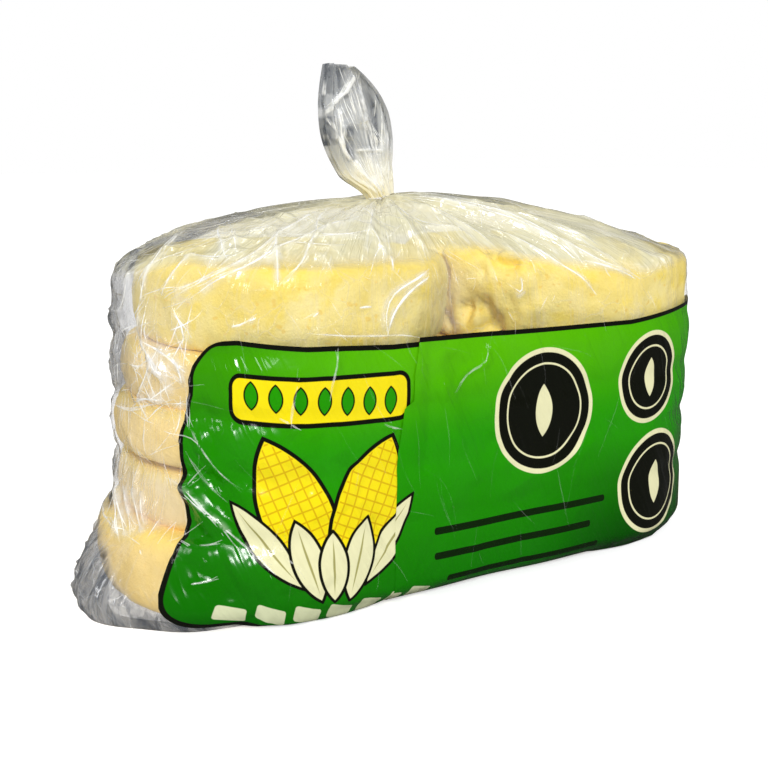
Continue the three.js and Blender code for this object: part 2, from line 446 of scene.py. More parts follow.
def film_surface(walk, level, inset):
    """Points of the film in millimetres, its outward normals, and how white its creases are, as whitened
    film with painted highlights
    """
    flat_walk = np.ravel(walk)
    flat_level = np.ravel(level)
    base = bag_point(flat_walk, flat_level)
    normal = bag_normal(flat_walk, flat_level)
    lift, white = fold_field(base)
    pleat, pleat_white = neck_pleats(flat_walk, flat_level)
    low = smooth_step(0.0, 4.0, flat_level)
    points = base + normal * ((lift + pleat) * low - inset)[:, None]
    return points, normal, np.maximum(white, pleat_white)


def into_frame(points):
    """From the loft's millimetres to metres over the middle of the solid's box"""
    return (np.asarray(points) + (SHIFT_X, SHIFT_Y, 0.0)) * MM


def keep_in_box(points):
    low = np.array(film_box[0]) + 0.0001
    high = np.array(film_box[1]) - 0.0001
    low[2] = film_box[0][2]
    return np.clip(points, low, high)


# Meshes

def grid_faces(rows, columns, closed, first=0):
    """Quads of a grid of points whose rows may run round and close; first is its first point"""
    faces = []
    for row in range(rows - 1):
        low = first + row * columns
        high = low + columns
        for column in range(columns if closed else columns - 1):
            following = (column + 1) % columns
            faces.append((low + column, low + following, high + following, high + column))
    return faces


def make_object(name, points, faces, material):
    mesh = bpy.data.meshes.new(name)
    mesh.from_pydata([tuple(point) for point in points], [], faces)
    mesh.validate()
    mesh.update()
    mesh.shade_smooth()
    mesh.materials.append(material)
    piece = bpy.data.objects.new(name, mesh)
    bpy.context.scene.collection.objects.link(piece)
    return piece


def put_values(mesh, **stores):
    """Keeps a number or a place for each point of a mesh, which the materials and trees read"""
    for name, values in stores.items():
        values = np.ascontiguousarray(values, dtype=np.float32)
        if values.ndim == 1:
            store = mesh.attributes.new(name, "FLOAT", "POINT")
            store.data.foreach_set("value", values)
        else:
            store = mesh.attributes.new(name, "FLOAT_VECTOR", "POINT")
            store.data.foreach_set("vector", values.ravel())


def apply_modifier(piece, modifier):
    """Keeps what a modifier makes of a piece as the piece's plain mesh"""
    bpy.context.view_layer.update()
    evaluated = piece.evaluated_get(bpy.context.evaluated_depsgraph_get())
    made = bpy.data.meshes.new_from_object(evaluated)
    piece.modifiers.remove(modifier)
    piece.data = made
    made.name = piece.name


# Nodes

FLOAT = "NodeSocketFloat"
VECTOR = "NodeSocketVector"
GEOMETRY = "NodeSocketGeometry"
MATERIAL = "NodeSocketMaterial"


class Signal:
    """A value on its way through a node tree: sums and products of it add the nodes they need"""

    def __init__(self, socket):
        self.socket = socket
        self.tree = socket.id_data

    def __add__(self, other):
        return calc("ADD", self, other)

    def __sub__(self, other):
        return calc("SUBTRACT", self, other)

    def __rsub__(self, other):
        return calc("SUBTRACT", other, self)

    def __mul__(self, other):
        return calc("MULTIPLY", self, other)

    def __rtruediv__(self, other):
        return calc("DIVIDE", other, self)

    def times_plus(self, factor, addend, clamp=False):
        return calc("MULTIPLY_ADD", self, factor, addend, clamp=clamp)

    def between(self, low, high, start=0.0, end=1.0, smooth=True):
        """Goes from start to end while the signal goes from low to high"""
        inputs = {"Value": self, "From Min": low, "From Max": high, "To Min": start, "To Max": end}
        kind = "SMOOTHSTEP" if smooth else "LINEAR"
        return result(self.tree, "ShaderNodeMapRange", inputs, "Result", interpolation_type=kind)

    def split(self):
        parts = add_node(self.tree, "ShaderNodeSeparateXYZ", {0: self})
        return [Signal(part) for part in parts.outputs]


def set_inputs(node, inputs):
    """Gives a node's inputs, by name or number, a link or a plain value each"""
    for name, value in inputs.items():
        if isinstance(value, Signal):
            value.tree.links.new(value.socket, node.inputs[name])
        elif value is not None:
            node.inputs[name].default_value = value


def add_node(tree, kind, inputs=None, **settings):
    node = tree.nodes.new(kind)
    for name, value in settings.items():
        setattr(node, name, value)
    set_inputs(node, inputs or {})
    return node


def result(tree, kind, inputs=None, output=0, **settings):
    """Adds a node and hands on what it puts out"""
    return Signal(add_node(tree, kind, inputs, **settings).outputs[output])


def tree_of(*values):
    """The tree of the first signal among these values"""
    return next(value.tree for value in values if isinstance(value, Signal))


def calc(operation, *values, clamp=False):
    inputs = dict(enumerate(values))
    tree = tree_of(*values)
    return result(tree, "ShaderNodeMath", inputs, operation=operation, use_clamp=clamp)


def vector_calc(operation, *values, scale=None):
    inputs = {**dict(enumerate(values)), "Scale": scale}
    output = "Value" if operation in ("DOT_PRODUCT", "LENGTH") else "Vector"
    tree = tree_of(*values)
    return result(tree, "ShaderNodeVectorMath", inputs, output, operation=operation)


def combine(x=None, y=None, z=None):
    return result(tree_of(x, y, z), "ShaderNodeCombineXYZ", {0: x, 1: y, 2: z})


def blend(share, below, above):
    """Goes from one colour to another"""
    inputs = {0: share, 6: below, 7: above}
    tree = tree_of(share, below, above)
    return result(tree, "ShaderNodeMix", inputs, 2, data_type="RGBA", clamp_factor=True)


def mix_numbers(share, below, above):
    inputs = {0: share, 2: below, 3: above}
    return result(share.tree, "ShaderNodeMix", inputs, data_type="FLOAT", clamp_factor=True)


def noise(place, scale, detail=2.0, roughness=0.5, distortion=0.0, seed=None, output=0):
    inputs = {
        "Vector": place,
        "Scale": scale,
        "Detail": detail,
        "Roughness": roughness,
        "Distortion": distortion,
        "W": seed,
    }
    sides = "3D" if seed is None else "4D"
    return result(place.tree, "ShaderNodeTexNoise", inputs, output, noise_dimensions=sides)


def bump(relief, strength, distance):
    inputs = {"Height": relief, "Strength": strength, "Distance": distance}
    return result(relief.tree, "ShaderNodeBump", inputs)


def new_tree(name, kind, inputs, outputs):
    """An empty tree with its given signals and its end; inputs have a default or a socket kind"""
    tree = bpy.data.node_groups.new(name, kind)
    for label, value in inputs.items():
        plain = isinstance(value, float)
        socket_kind = FLOAT if plain else value
        socket = tree.interface.new_socket(label, in_out="INPUT", socket_type=socket_kind)
        if plain:
            socket.default_value = value
    for label, socket_kind in outputs.items():
        tree.interface.new_socket(label, in_out="OUTPUT", socket_type=socket_kind)
    start = tree.nodes.new("NodeGroupInput")
    end = tree.nodes.new("NodeGroupOutput")
    return tree, {label: Signal(start.outputs[label]) for label in inputs}, end


def new_group(name, inputs, outputs):
    """A shader group that takes a place and puts out numbers"""
    inputs = {"Place": VECTOR, **inputs}
    return new_tree(name, "ShaderNodeTree", inputs, {label: FLOAT for label in outputs})


def use_group(build, place, **values):
    """Puts a shared group in the tree of a place; words of an input's name are joined by _"""
    group = bpy.data.node_groups.get(build.__name__) or build(build.__name__)
    inputs = {name.replace("_", " "): value for name, value in values.items()}
    inputs["Place"] = place
    node = add_node(place.tree, "ShaderNodeGroup", inputs, node_tree=group)
    return {socket.name: Signal(socket) for socket in node.outputs}


def new_material(name):
    material = bpy.data.materials.new(name)
    material.use_nodes = True
    tree = material.node_tree
    tree.nodes.clear()
    shader = tree.nodes.new("ShaderNodeBsdfPrincipled")
    output = tree.nodes.new("ShaderNodeOutputMaterial")
    tree.links.new(shader.outputs[0], output.inputs["Surface"])
    return material, tree, shader


def read_value(tree, name, output="Fac"):
    """Reads what put_values kept for each point"""
    return result(tree, "ShaderNodeAttribute", output=output, attribute_name=name)


def read_place(tree, name):
    return read_value(tree, name, "Vector")


def object_place(tree):
    return result(tree, "ShaderNodeTexCoord", output="Object")


def opaque(colour):
    return (*colour, 1.0)


# Effects that more than one material uses

def soft_cloud(name):
    """Soft uneven patches, as a mask from 0 to 1"""
    inputs = {"Size": 0.01, "Detail": 3.0, "Low": 0.4, "High": 0.6, "Seed": 0.0}
    group, given, end = new_group(name, inputs, ("Mask",))
    grain = noise(given["Place"], 1.0 / given["Size"], given["Detail"], seed=given["Seed"])
    set_inputs(end, {"Mask": grain.between(given["Low"], given["High"])})
    return group


def cloud_mask(place, size, detail, low, high, seed):
    return use_group(soft_cloud, place, Size=size, Detail=detail, Low=low, High=high, Seed=seed)["Mask"]


def film_crinkle(name):
    """Small sharp creases of thin film: how high they stand, and a mask of their crests"""
    inputs = {"Size": 0.008, "Sharpness": 0.25}
    group, given, end = new_group(name, inputs, ("Height", "Crest"))
    scale = 1.0 / given["Size"]
    wander = noise(given["Place"], scale * 0.8, output="Color")
    shift = vector_calc("SCALE", wander, scale=given["Size"] * 1.6)
    inputs = {"Vector": vector_calc("ADD", given["Place"], shift), "Scale": scale}
    edge = result(group, "ShaderNodeTexVoronoi", inputs, "Distance", feature="DISTANCE_TO_EDGE")
    strength = noise(given["Place"], scale * 0.5, detail=1.0).between(0.42, 0.62)
    ridge = edge.between(0.0, given["Sharpness"], 1.0, 0.0, smooth=False)
    crest = edge.between(0.0, 0.05, 1.0, 0.0)
    set_inputs(end, {"Height": ridge * strength, "Crest": crest * strength})
    return group


def film_streaks(name):
    """Long thin lines that a tight film shows: a mask of the lines, and how high they stand"""
    inputs = {"Spacing": 0.004, "Length": 0.05, "Lean": 0.0, "Thinness": 14.0, "Seed": 0.0}
    group, given, end = new_group(name, inputs, ("Mask", "Height"))
    spun = turned(given["Place"], given["Lean"])
    drawn = vector_calc("MULTIPLY", spun, combine(1.0 / given["Spacing"], 1.0 / given["Length"]))
    value = noise(drawn, 1.0, roughness=0.6, seed=given["Seed"])
    off = calc("ABSOLUTE", value - 0.5)
    line = calc("SUBTRACT", 1.0, off * given["Thinness"], clamp=True)
    strength = noise(drawn, 0.35, detail=1.0, seed=given["Seed"]).between(0.44, 0.62)
    set_inputs(end, {"Mask": line * strength, "Height": line.times_plus(0.5, value)})
    return group


def turned(place, angle, centre=None):
    """Turns a place about the upright line through a centre"""
    inputs = {"Vector": place, "Angle": angle, "Center": centre}
    return result(place.tree, "ShaderNodeVectorRotate", inputs, rotation_type="Z_AXIS")


# Sizes and colours that a user may change

def length_property(name, description, default, least=0.0):
    return bpy.props.FloatProperty(
        name=name, description=description, default=default, min=least, unit="LENGTH"
    )


def share_property(name, description, default):
    return bpy.props.FloatProperty(
        name=name, description=description, default=default, min=0.0, max=1.0, subtype="FACTOR"
    )


def strength_property(name, description, default):
    return bpy.props.FloatProperty(name=name, description=description, default=default, min=0.0)


def colour_property(name, description, default):
    return bpy.props.FloatVectorProperty(
        name=name, description=description, default=default[:3], size=3, min=0.0, max=1.0, subtype="COLOR"
    )


class ArepaSettings(bpy.types.PropertyGroup):
    edge: length_property(
        "Edge", "How far in from the rim an arepa's edge is rounded", 0.0070, least=0.001
    )
    lump_height: length_property("Lump Height", "How far the hand-shaped lumps stand out", 0.0011)
    lump_size: length_property("Lump Size", "How far apart the lumps are", 0.019, least=0.001)
    maize: colour_property("Maize", "The dough's main colour", linear(248, 222, 112))
    cream: colour_property("Cream", "The paler patches of the dough", linear(253, 238, 166))
    corn: colour_property(
        "Corn", "The strongest yellow, in wet blotches and specks of corn", linear(253, 224, 78)
    )


class FilmSettings(bpy.types.PropertyGroup):
    inset: length_property("Inset", "How far inside the solid's surface the film lies", 0.00045)
    clearance: length_property("Clearance", "The least gap between film and arepa", 0.00035)
    clear_alpha: share_property("Clear", "How much film that clings to an arepa hides", 0.06)
    milky_alpha: share_property("Milky", "How much film that stands off hides", 0.46)
    crest_alpha: share_property("Crest", "How much a crease's crest hides", 0.95)
    cream_alpha: share_property("Cream", "How much the milky film over the tops hides", 0.84)
    # Rim Cover and Rim give the painted dark: a painted reflection on film seen edge-on, and painted shade
    # at the foot and on the far side seen from within
    rim_alpha: share_property(
        "Rim Cover", "How much film hides that is seen edge-on or crumpled at the foot", 0.82
    )
    far_alpha: share_property("Far Side", "How much the far side hides, seen from within", 0.70)
    haze: colour_property("Haze", "The colour of film that stands off", linear(212, 210, 208))
    warm_haze: colour_property(
        "Warm Haze", "The colour of the milky film over the arepas' tops", linear(224, 219, 184)
    )
    rim: colour_property("Rim", "The colour of film seen edge-on or from within", linear(60, 68, 80))


class PrintSettings(bpy.types.PropertyGroup):
    left_end: length_property(
        "Left End", "Where the panel starts, from the middle of the front", -0.1070, least=-1.0
    )
    right_end: length_property(
        "Right End", "Where the panel ends, from the middle of the front", 0.1100, least=-1.0
    )
    corner: length_property("Corner", "The radius of the panel's corners", 0.0105, least=0.001)
    border: length_property("Border", "The width of the panel's dark border", 0.0014)
    green: colour_property("Green", "The panel's ground colour", linear(34, 148, 0))
    yellow: colour_property("Yellow", "The maize cobs and the ribbon", linear(240, 220, 16))
    cream: colour_property("Cream", "The husks, lozenges and rims", linear(228, 225, 180))
    dark: colour_property("Dark", "The border, outlines and discs", linear(14, 16, 8))


class StageSettings(bpy.types.PropertyGroup):
    floor: colour_property("Floor", "The colour of the floor", (0.88, 0.88, 0.88))
    floor_glow: strength_property(
        "Floor Glow", "How much paler the floor looks than its lighting, to meet the room", 0.48
    )
    bounce: share_property("Bounce", "How much light the floor throws back on the bag", 0.72)
    room: strength_property("Room", "How much light the room gives from all round", 0.38)
    mirrored: strength_property(
        "Mirrored Room", "How bright the room is in what shiny surfaces mirror", 0.05
    )
    key: strength_property("Key", "The strength of the soft light from above and in front", 2.05)
    backdrop: strength_property(
        "Backdrop", "The watts of the pale wall behind, which only shiny surfaces mirror", 2.1
    )
    ceiling: strength_property(
        "Ceiling", "The watts of the pale ceiling, which only shiny surfaces mirror", 1.5
    )
    back_light: strength_property(
        "Back Light", "The watts of the soft low light that reaches the back", 0.7
    )
    boxes: strength_property("Light Boxes", "The watts of each small light box", 1.0)


# The arepas

AREPAS = (
    # name, middle of its stack, sideways shift, forward shift, radius, bottom, top, tilt, seed
    ("arepa_left_1", -54, -8.0, 0.0, 53.5, 0.6, 26.4, (0.0, 0.6), 1.0),
    ("arepa_left_2", -54, -0.2, 0.0, 53.4, 26.4, 44.8, (0.5, -0.8), 2.0),
    ("arepa_left_3", -54, -0.5, 0.0, 53.8, 44.6, 62.6, (-0.4, 1.4), 3.0),
    ("arepa_left_4", -54, 1.0, 0.0, 52.4, 62.6, 81.0, (0.9, -0.3), 4.0),
    ("arepa_left_5", -54, 3.8, -1.6, 50.4, 80.4, 106.2, (1.5, 0.6), 5.0),
    ("arepa_right_1", 54, 0.6, 0.0, 52.8, 0.6, 26.4, (0.0, 0.0), 6.0),
    ("arepa_right_2", 54, 0.6, 0.0, 52.4, 27.0, 44.0, (0.2, 0.3), 7.0),
    ("arepa_right_3", 54, 0.8, 0.0, 52.6, 44.6, 61.0, (-0.2, -0.3), 8.0),
    ("arepa_right_4", 54, 0.5, 0.0, 52.2, 61.0, 75.4, (0.4, 0.2), 9.0),
    ("arepa_right_5", 54, 0.5, 0.0, 52.4, 75.2, 104.4, (1.6, 1.2), 10.0),
)


# How finely an arepa is drawn: rows up its side, and rings on each face
SIDE_ROWS = 22
FACE_RINGS = 24


def finish_form(form, finish, end):
    """The last steps of both form trees: smooth shading, real faces and the finish"""
    smooth = result(form.tree, "GeometryNodeSetShadeSmooth", {"Geometry": form})
    real = result(form.tree, "GeometryNodeRealizeInstances", {0: smooth})
    inputs = {"Geometry": real, "Material": finish}
    set_inputs(end, {"Geometry": result(form.tree, "GeometryNodeSetMaterial", inputs)})


def build_arepa_tree():
    """A round cake: a cylinder whose rim is rounded and whose surface is pushed into lumps"""
    inputs = {
        "Radius": 0.054,
        "Thickness": 0.018,
        "Edge": 0.0085,
        "Lump Height": 0.001,
        "Lump Size": 0.019,
        "Face Share": 0.3,
        "Torn Height": 0.0,
        "Seed": 0.0,
        "Middle": VECTOR,
        "Torn Side": VECTOR,
        "Tilt": "NodeSocketRotation",
        "Round Points": "NodeSocketInt",
        "Finish": MATERIAL,
    }
    tree, given, end = new_tree("arepa_form", "GeometryNodeTree", inputs, {"Geometry": GEOMETRY})
    inputs = {
        "Vertices": given["Round Points"],
        "Side Segments": SIDE_ROWS,
        "Fill Segments": FACE_RINGS,
        "Radius": 1.0,
        "Depth": 2.0,
    }
    blank = result(tree, "GeometryNodeMeshCylinder", inputs, "Mesh", fill_type="TRIANGLE_FAN")

    # The flat blank becomes a cake with a rounded rim
    x, y, upward = result(tree, "GeometryNodeInputPosition").split()
    flat = combine(x, y)
    angle = upward * (math.pi / 2)
    bulge = calc("POWER", calc("MAXIMUM", calc("COSINE", angle), 0.0), 0.42)
    inner = given["Radius"] - given["Edge"]
    reach = given["Edge"].times_plus(bulge, vector_calc("LENGTH", flat) * inner)
    outward = vector_calc("SCALE", vector_calc("NORMALIZE", flat), scale=reach)
    raised = combine(z=given["Thickness"] * 0.5 * calc("SINE", angle))
    inputs = {"Geometry": blank, "Name": "height_share", "Value": upward}
    kept = result(tree, "GeometryNodeStoreNamedAttribute", inputs, data_type="FLOAT", domain="POINT")
    inputs = {"Geometry": kept, "Position": vector_calc("ADD", outward, raised)}
    shaped = result(tree, "GeometryNodeSetPosition", inputs)

    # Lumps of three sizes, weaker on the two faces than round the rim
    now = result(tree, "GeometryNodeInputPosition")
    normal = result(tree, "GeometryNodeInputNormal")
    scale = 1.0 / given["Lump Size"]
    lumps = 0.0
    for finer, detail, weight in ((1.0, 1.0, 2.6), (3.2, 2.0, 1.3), (9.0, 2.0, 0.5)):
        grain = noise(now, scale * finer, detail, seed=given["Seed"])
        lumps = (grain - 0.5).times_plus(weight, lumps)
    facing = calc("ABSOLUTE", normal.split()[2])
    lumps = lumps * given["Lump Height"] * facing.between(0.5, 1.0, 1.0, given["Face Share"])

    # One side may be torn into bigger lobes
    way = vector_calc("NORMALIZE", vector_calc("MULTIPLY", now, (1.0, 1.0, 0.0)))
    torn = vector_calc("DOT_PRODUCT", way, given["Torn Side"]).between(0.86, 0.97)
    lobes = noise(now, scale * 1.9, 1.5, seed=given["Seed"]).between(0.40, 0.56, -1.0, 0.35)
    push = lumps + lobes * torn * given["Torn Height"]
    inputs = {"Geometry": shaped, "Offset": vector_calc("SCALE", normal, scale=push)}
    lumpy = result(tree, "GeometryNodeSetPosition", inputs)

    # Its place in the stack
    inputs = {"Geometry": lumpy, "Translation": given["Middle"], "Rotation": given["Tilt"]}
    finish_form(result(tree, "GeometryNodeTransform", inputs), given["Finish"], end)
    return tree


def bake_tree(name, tree, values, mesh=None):
    """Runs a Geometry Nodes tree with the given inputs and keeps its result as a plain mesh"""
    piece = bpy.data.objects.new(name, mesh or bpy.data.meshes.new(name))
    bpy.context.scene.collection.objects.link(piece)
    modifier = piece.modifiers.new("form", "NODES")
    modifier.node_group = tree
    for item in tree.interface.items_tree:
        if item.item_type == "SOCKET" and item.in_out == "INPUT" and item.name in values:
            modifier[item.identifier] = values[item.name]
    apply_modifier(piece, modifier)
    return piece


def arepa_material(name, settings, paleness, warmth, toast):
    """Maize dough: cream and yellow patches, wet yellow blotches, specks of corn, a fine crumb, and a
    painted light that makes each arepa yellower on its upper side
    """
    material, tree, shader = new_material(name)
    place = object_place(tree)
    cream = opaque(settings.cream)
    corn = opaque(settings.corn)
    broad = cloud_mask(place, 0.024, 3.0, 0.38, 0.64, 1.0)
    wet = cloud_mask(place, 0.0075, 3.0, 0.50, 0.66, 4.0) * warmth
    speck = cloud_mask(place, 0.0022, 1.0, 0.66, 0.72, 7.0)
    pale = cloud_mask(place, 0.005, 4.0, 0.52, 0.75, 9.0)
    # Painted light: each arepa's upper side is painted yellower, as if lit from above
    upper = read_value(tree, "height_share").between(0.25, 0.80)
    colour = blend(broad.times_plus(0.55, paleness, clamp=True), opaque(settings.maize), cream)
    colour = blend(wet, colour, corn)
    colour = blend(pale * 0.35, colour, cream)
    colour = blend(speck * 0.4, colour, linear(240, 190, 40))
    colour = blend(toast, colour, linear(244, 204, 130))
    crumb = noise(place, 900.0, 3.0, roughness=0.65)
    looks = {
        "Base Color": blend(upper * broad.times_plus(0.35, 0.30), colour, corn),
        "Roughness": wet.between(0.0, 0.6, 0.62, 0.42),
        "Specular IOR Level": 0.35,
        "Normal": bump(noise(place, 230.0, 3.0).times_plus(2.0, crumb), 0.6, 0.0004),
    }
    set_inputs(shader, looks)
    return material


class AREPABAG_OT_arepas(bpy.types.Operator):
    """Makes the ten arepas, in two stacks of five"""

    bl_idname = "arepabag.arepas"
    bl_label = "Arepas"

    def execute(self, context):
        settings = context.scene.arepabag_arepas
        tree = build_arepa_tree()
        bright = arepa_material("arepa_bright", settings, 0.05, 0.60, 0.0)
        plain = arepa_material("arepa_plain", settings, 0.20, 0.30, 0.60)
        for name, stack, sideways, forward, radius, bottom, top, tilt, seed in AREPAS:
            middle = into_frame((stack + sideways, forward, (bottom + top) / 2))
            highest = name.endswith("5")
            values = {
                "Radius": radius * MM,
                "Thickness": (top - bottom) * MM,
                "Edge": settings.edge * (1.0 if highest else 1.3),
                "Lump Height": settings.lump_height * (1.3 if highest else 1.15),
                "Lump Size": settings.lump_size,
                "Face Share": 0.5 if highest else 0.12,
                "Torn Height": 0.0035 if name == "arepa_right_5" else 0.0,
                "Torn Side": (-0.90, -0.43, 0.0),
                "Seed": seed,
                "Middle": tuple(float(part) for part in middle),
                "Tilt": (math.radians(tilt[0]), math.radians(tilt[1]), 0.0),
                "Round Points": 300 if highest else 220,
                "Finish": bright if highest else plain,
            }
            piece = bake_tree(name, tree, values)
            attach(piece, "root")
        return {"FINISHED"}


# The clear film

def skin_of(names):
    """One search tree over the surfaces of the named pieces, in metres"""
    places = []
    faces = []
    for name in names:
        mesh = bpy.data.objects[name].data
        start = len(places)
        places.extend(vertex.co.copy() for vertex in mesh.vertices)
        faces.extend([start + index for index in face.vertices] for face in mesh.polygons)
    return BVHTree.FromPolygons(places, faces)


def lie_on_arepas(points, normals, clearance):
    """Moves points outwards where they would enter an arepa, and says how far off each stands"""
    skin = skin_of([entry[0] for entry in AREPAS])
    gaps = np.full(len(points), 0.03)
    moved = points.copy()
    for number, point in enumerate(points):
        near, face_normal, _, distance = skin.find_nearest(point.tolist(), 0.03)
        if near is None:
            continue
        outside = (point - np.array(near)) @ np.array(face_normal)
        gap = distance if outside > 0 else -distance
        if gap < clearance:
            moved[number] = point + normals[number] * (clearance - gap)
            gap = clearance
        gaps[number] = gap
    return moved, gaps


# Along the front: where the film over the tops turns milky, and up to where the film at the foot is painted
# dim, as painted shade
MILKY_FROM = (
    (-200, -150, -120, -104, -60, -37, -26, -5, 5, 14, 37, 54, 75, 100, 140, 200),
    (100, 101, 104, 106.6, 106.4, 106.2, 107.2, 108.6, 107, 103.6, 101, 98, 100, 101.5, 102, 103),
)
DIM_UP_TO = (
    (-260, -180, -140, -128, -122, -116, -110, -60, 60, 200),
    (5, 10, 24, 20, 14, 9, 7, 5, 3, 5),
)


# Across the bag: how far back the top's painted dark rim starts, and how dark it is; the rim is a painted
# reflection of the dim room
RIM_FROM = (
    (-110, -92, -84, -76, -66, -58, -52, -44, -40, -15, 0, 10, 20, 38, 53, 70, 76, 82, 100),
    (-4, -8, -9, -4, -2, 1, 5, 3, -9, -8, -16, -21, -27, -32, -35, -39, -45, -49, -53),
)
RIM_DARKNESS = (
    (-110, -60, -50, -38, -12, 0, 22, 34, 60, 72, 90),
    (1.0, 1.0, 0.6, 0.1, 0.1, 0.9, 0.8, 0.2, 0.2, 0.8, 0.8),
)

# Along the front: the lower edge of the milky bunch that hangs over the bottom arepa
BUNCH_FROM = ((-170, -157, -135, -125, -118, -109, -100), (20, 24, 26, 24, 27.5, 30, 31))


def film_look(along, places, gaps):
    """How hazy the film is, how creamy over the tops, and how much it is painted dim: a painted reflection
    at the top's rim, and painted shade at the foot, the left end and the right corner, each from 0 to 1
    """
    x = places[:, 0] / MM - SHIFT_X
    y = places[:, 1] / MM - SHIFT_Y
    height = places[:, 2] / MM
    wobble = 0.3 * np.sin(along / 2.9) + 0.5 * np.sin(along / 5.3 + 1.0)
    top = smooth_step(-2.6, 2.8, height + wobble - np.interp(along, *MILKY_FROM))
    left = smooth_step(98.0, 116.0, -along) * smooth_step(-200.0, -170.0, -np.abs(along))
    right = smooth_step(104.0, 124.0, along)
    back = smooth_step(150.0, 185.0, np.abs(along))
    loose = smooth_step(0.0006, 0.006, gaps)
    wall = np.maximum(np.maximum(0.62 * left, 0.35 * right), 0.5 * back) * mix(0.4, 1.0, loose)
    bunch = smooth_step(-0.8, 1.4, height - np.interp(along, *BUNCH_FROM))
    bunch_end = 1 - smooth_step(40.0, 50.0, height)
    wall = wall * mix(0.08, 1.0, bunch) + 0.5 * left * bunch * bunch_end
    near_top = 0.5 * smooth_step(-12.0, 0.0, height - np.interp(along, *MILKY_FROM))
    veil = np.maximum(wall, near_top * smooth_step(80.0, 110.0, np.abs(along)))
    crushed = np.exp(-(((along + 115.0) / 9.0) ** 2) - ((height - 79.0) / 9.0) ** 2)
    veil = np.maximum(veil, 0.95 * crushed)
    # Painted shade on the film at the foot
    dim = smooth_step(-1.5, 1.0, np.interp(along, *DIM_UP_TO) - height)
    dim = dim * smooth_step(0.001, 0.0035, gaps)
    # Painted reflection of the dim room along the top's far rim
    behind = y - np.interp(x, *RIM_FROM)
    rim = smooth_step(-3.0, 0.5, behind) * (1 - smooth_step(14.0, 24.0, behind))
    rim = rim * np.interp(x, *RIM_DARKNESS) * smooth_step(98.0, 104.0, height)
    # Painted shade on the film at the left end and at the right corner
    end = smooth_step(122.0, 140.0, -along) * smooth_step(54.0, 70.0, height)
    end = end * (1 - smooth_step(108.0, 116.0, height)) * (1 - smooth_step(148.0, 172.0, -along))
    corner = smooth_step(90.0, 98.0, along) * smooth_step(92.0, 98.0, height)
    corner = corner * (1 - smooth_step(112.0, 126.0, along)) * (1 - smooth_step(106.0, 112.0, height))
    bridge = np.exp(-(((along + 22.0) / 8.0) ** 2)) * smooth_step(82.0, 88.0, height)
    top = np.maximum(top, 0.30 * bridge)
    return np.clip(veil, 0.0, 1.0), top, np.maximum.reduce([dim, rim, 0.75 * end, 0.85 * corner])


def film_columns():
    """Walks round the bag, close together where the photo's view sees the film"""
    end = np.arange(-152.0, -34.0, 0.62)
    front_side = np.arange(end[-1] + 1.0, 114.0, 1.0)
    back = np.linspace(114.5, WHOLE - 153.0, 86)
    return FRONT_MIDDLE + np.concatenate([end, front_side, back])


def panel_top(along, left_sheet):
    """The height of the panel's upper edge, which jumps at the tuck between its two sheets"""
    left_places = [-107.0, -98.0, -90.0, -80.0, -70.0, -62.0, -43.0]
    left_heights = [84.6, 85.3, 85.8, 84.8, 84.0, 83.9, 82.7]
    right_places = [-33.0, 0.0, 50.0, 80.0, 110.0]
    right_heights = [84.0, 83.1, 82.7, 85.2, 86.4]
    left = np.interp(along, left_places, left_heights)
    return np.where(left_sheet, left, np.interp(along, right_places, right_heights))


def panel_bottom(along):
    places = [-107.0, -88.0, -74.0, -60.0, 110.0]
    heights = [2.2, 1.6, 1.0, 0.5, 0.4]
    return np.interp(along, places, heights)


def panel_lean(height):
    """How far in from the panel's left end its left edge lies, which waves with the crumples"""
    places = [0.0, 6.0, 22.0, 28.0, 32.0, 38.0, 44.0, 58.0, 64.0, 70.0, 84.0]
    return np.interp(height, places, [-2.8, -2.2, -1.7, -0.2, 0.4, -0.1, -1.5, -1.2, 0.6, 2.6, 3.4])


def printed_bottom(along):
    """Where in the print the lower edge lies: past the left corner the border is out of sight"""
    return np.interp(along, [-88.0, -60.0], [4.0, 6.4])


def light_path(tree, kind):
    """Tells one kind of light ray from the others: is it a shadow, camera, diffuse or glossy ray?"""
    return result(tree, "ShaderNodeLightPath", output="Is " + kind + " Ray")


def let_light_pass(tree):
    """Weakens the film for shadows and for light thrown about inside the bag"""
    passing = calc("MAXIMUM", light_path(tree, "Shadow"), light_path(tree, "Diffuse"))
    return mix_numbers(passing, 1.0, 0.22)


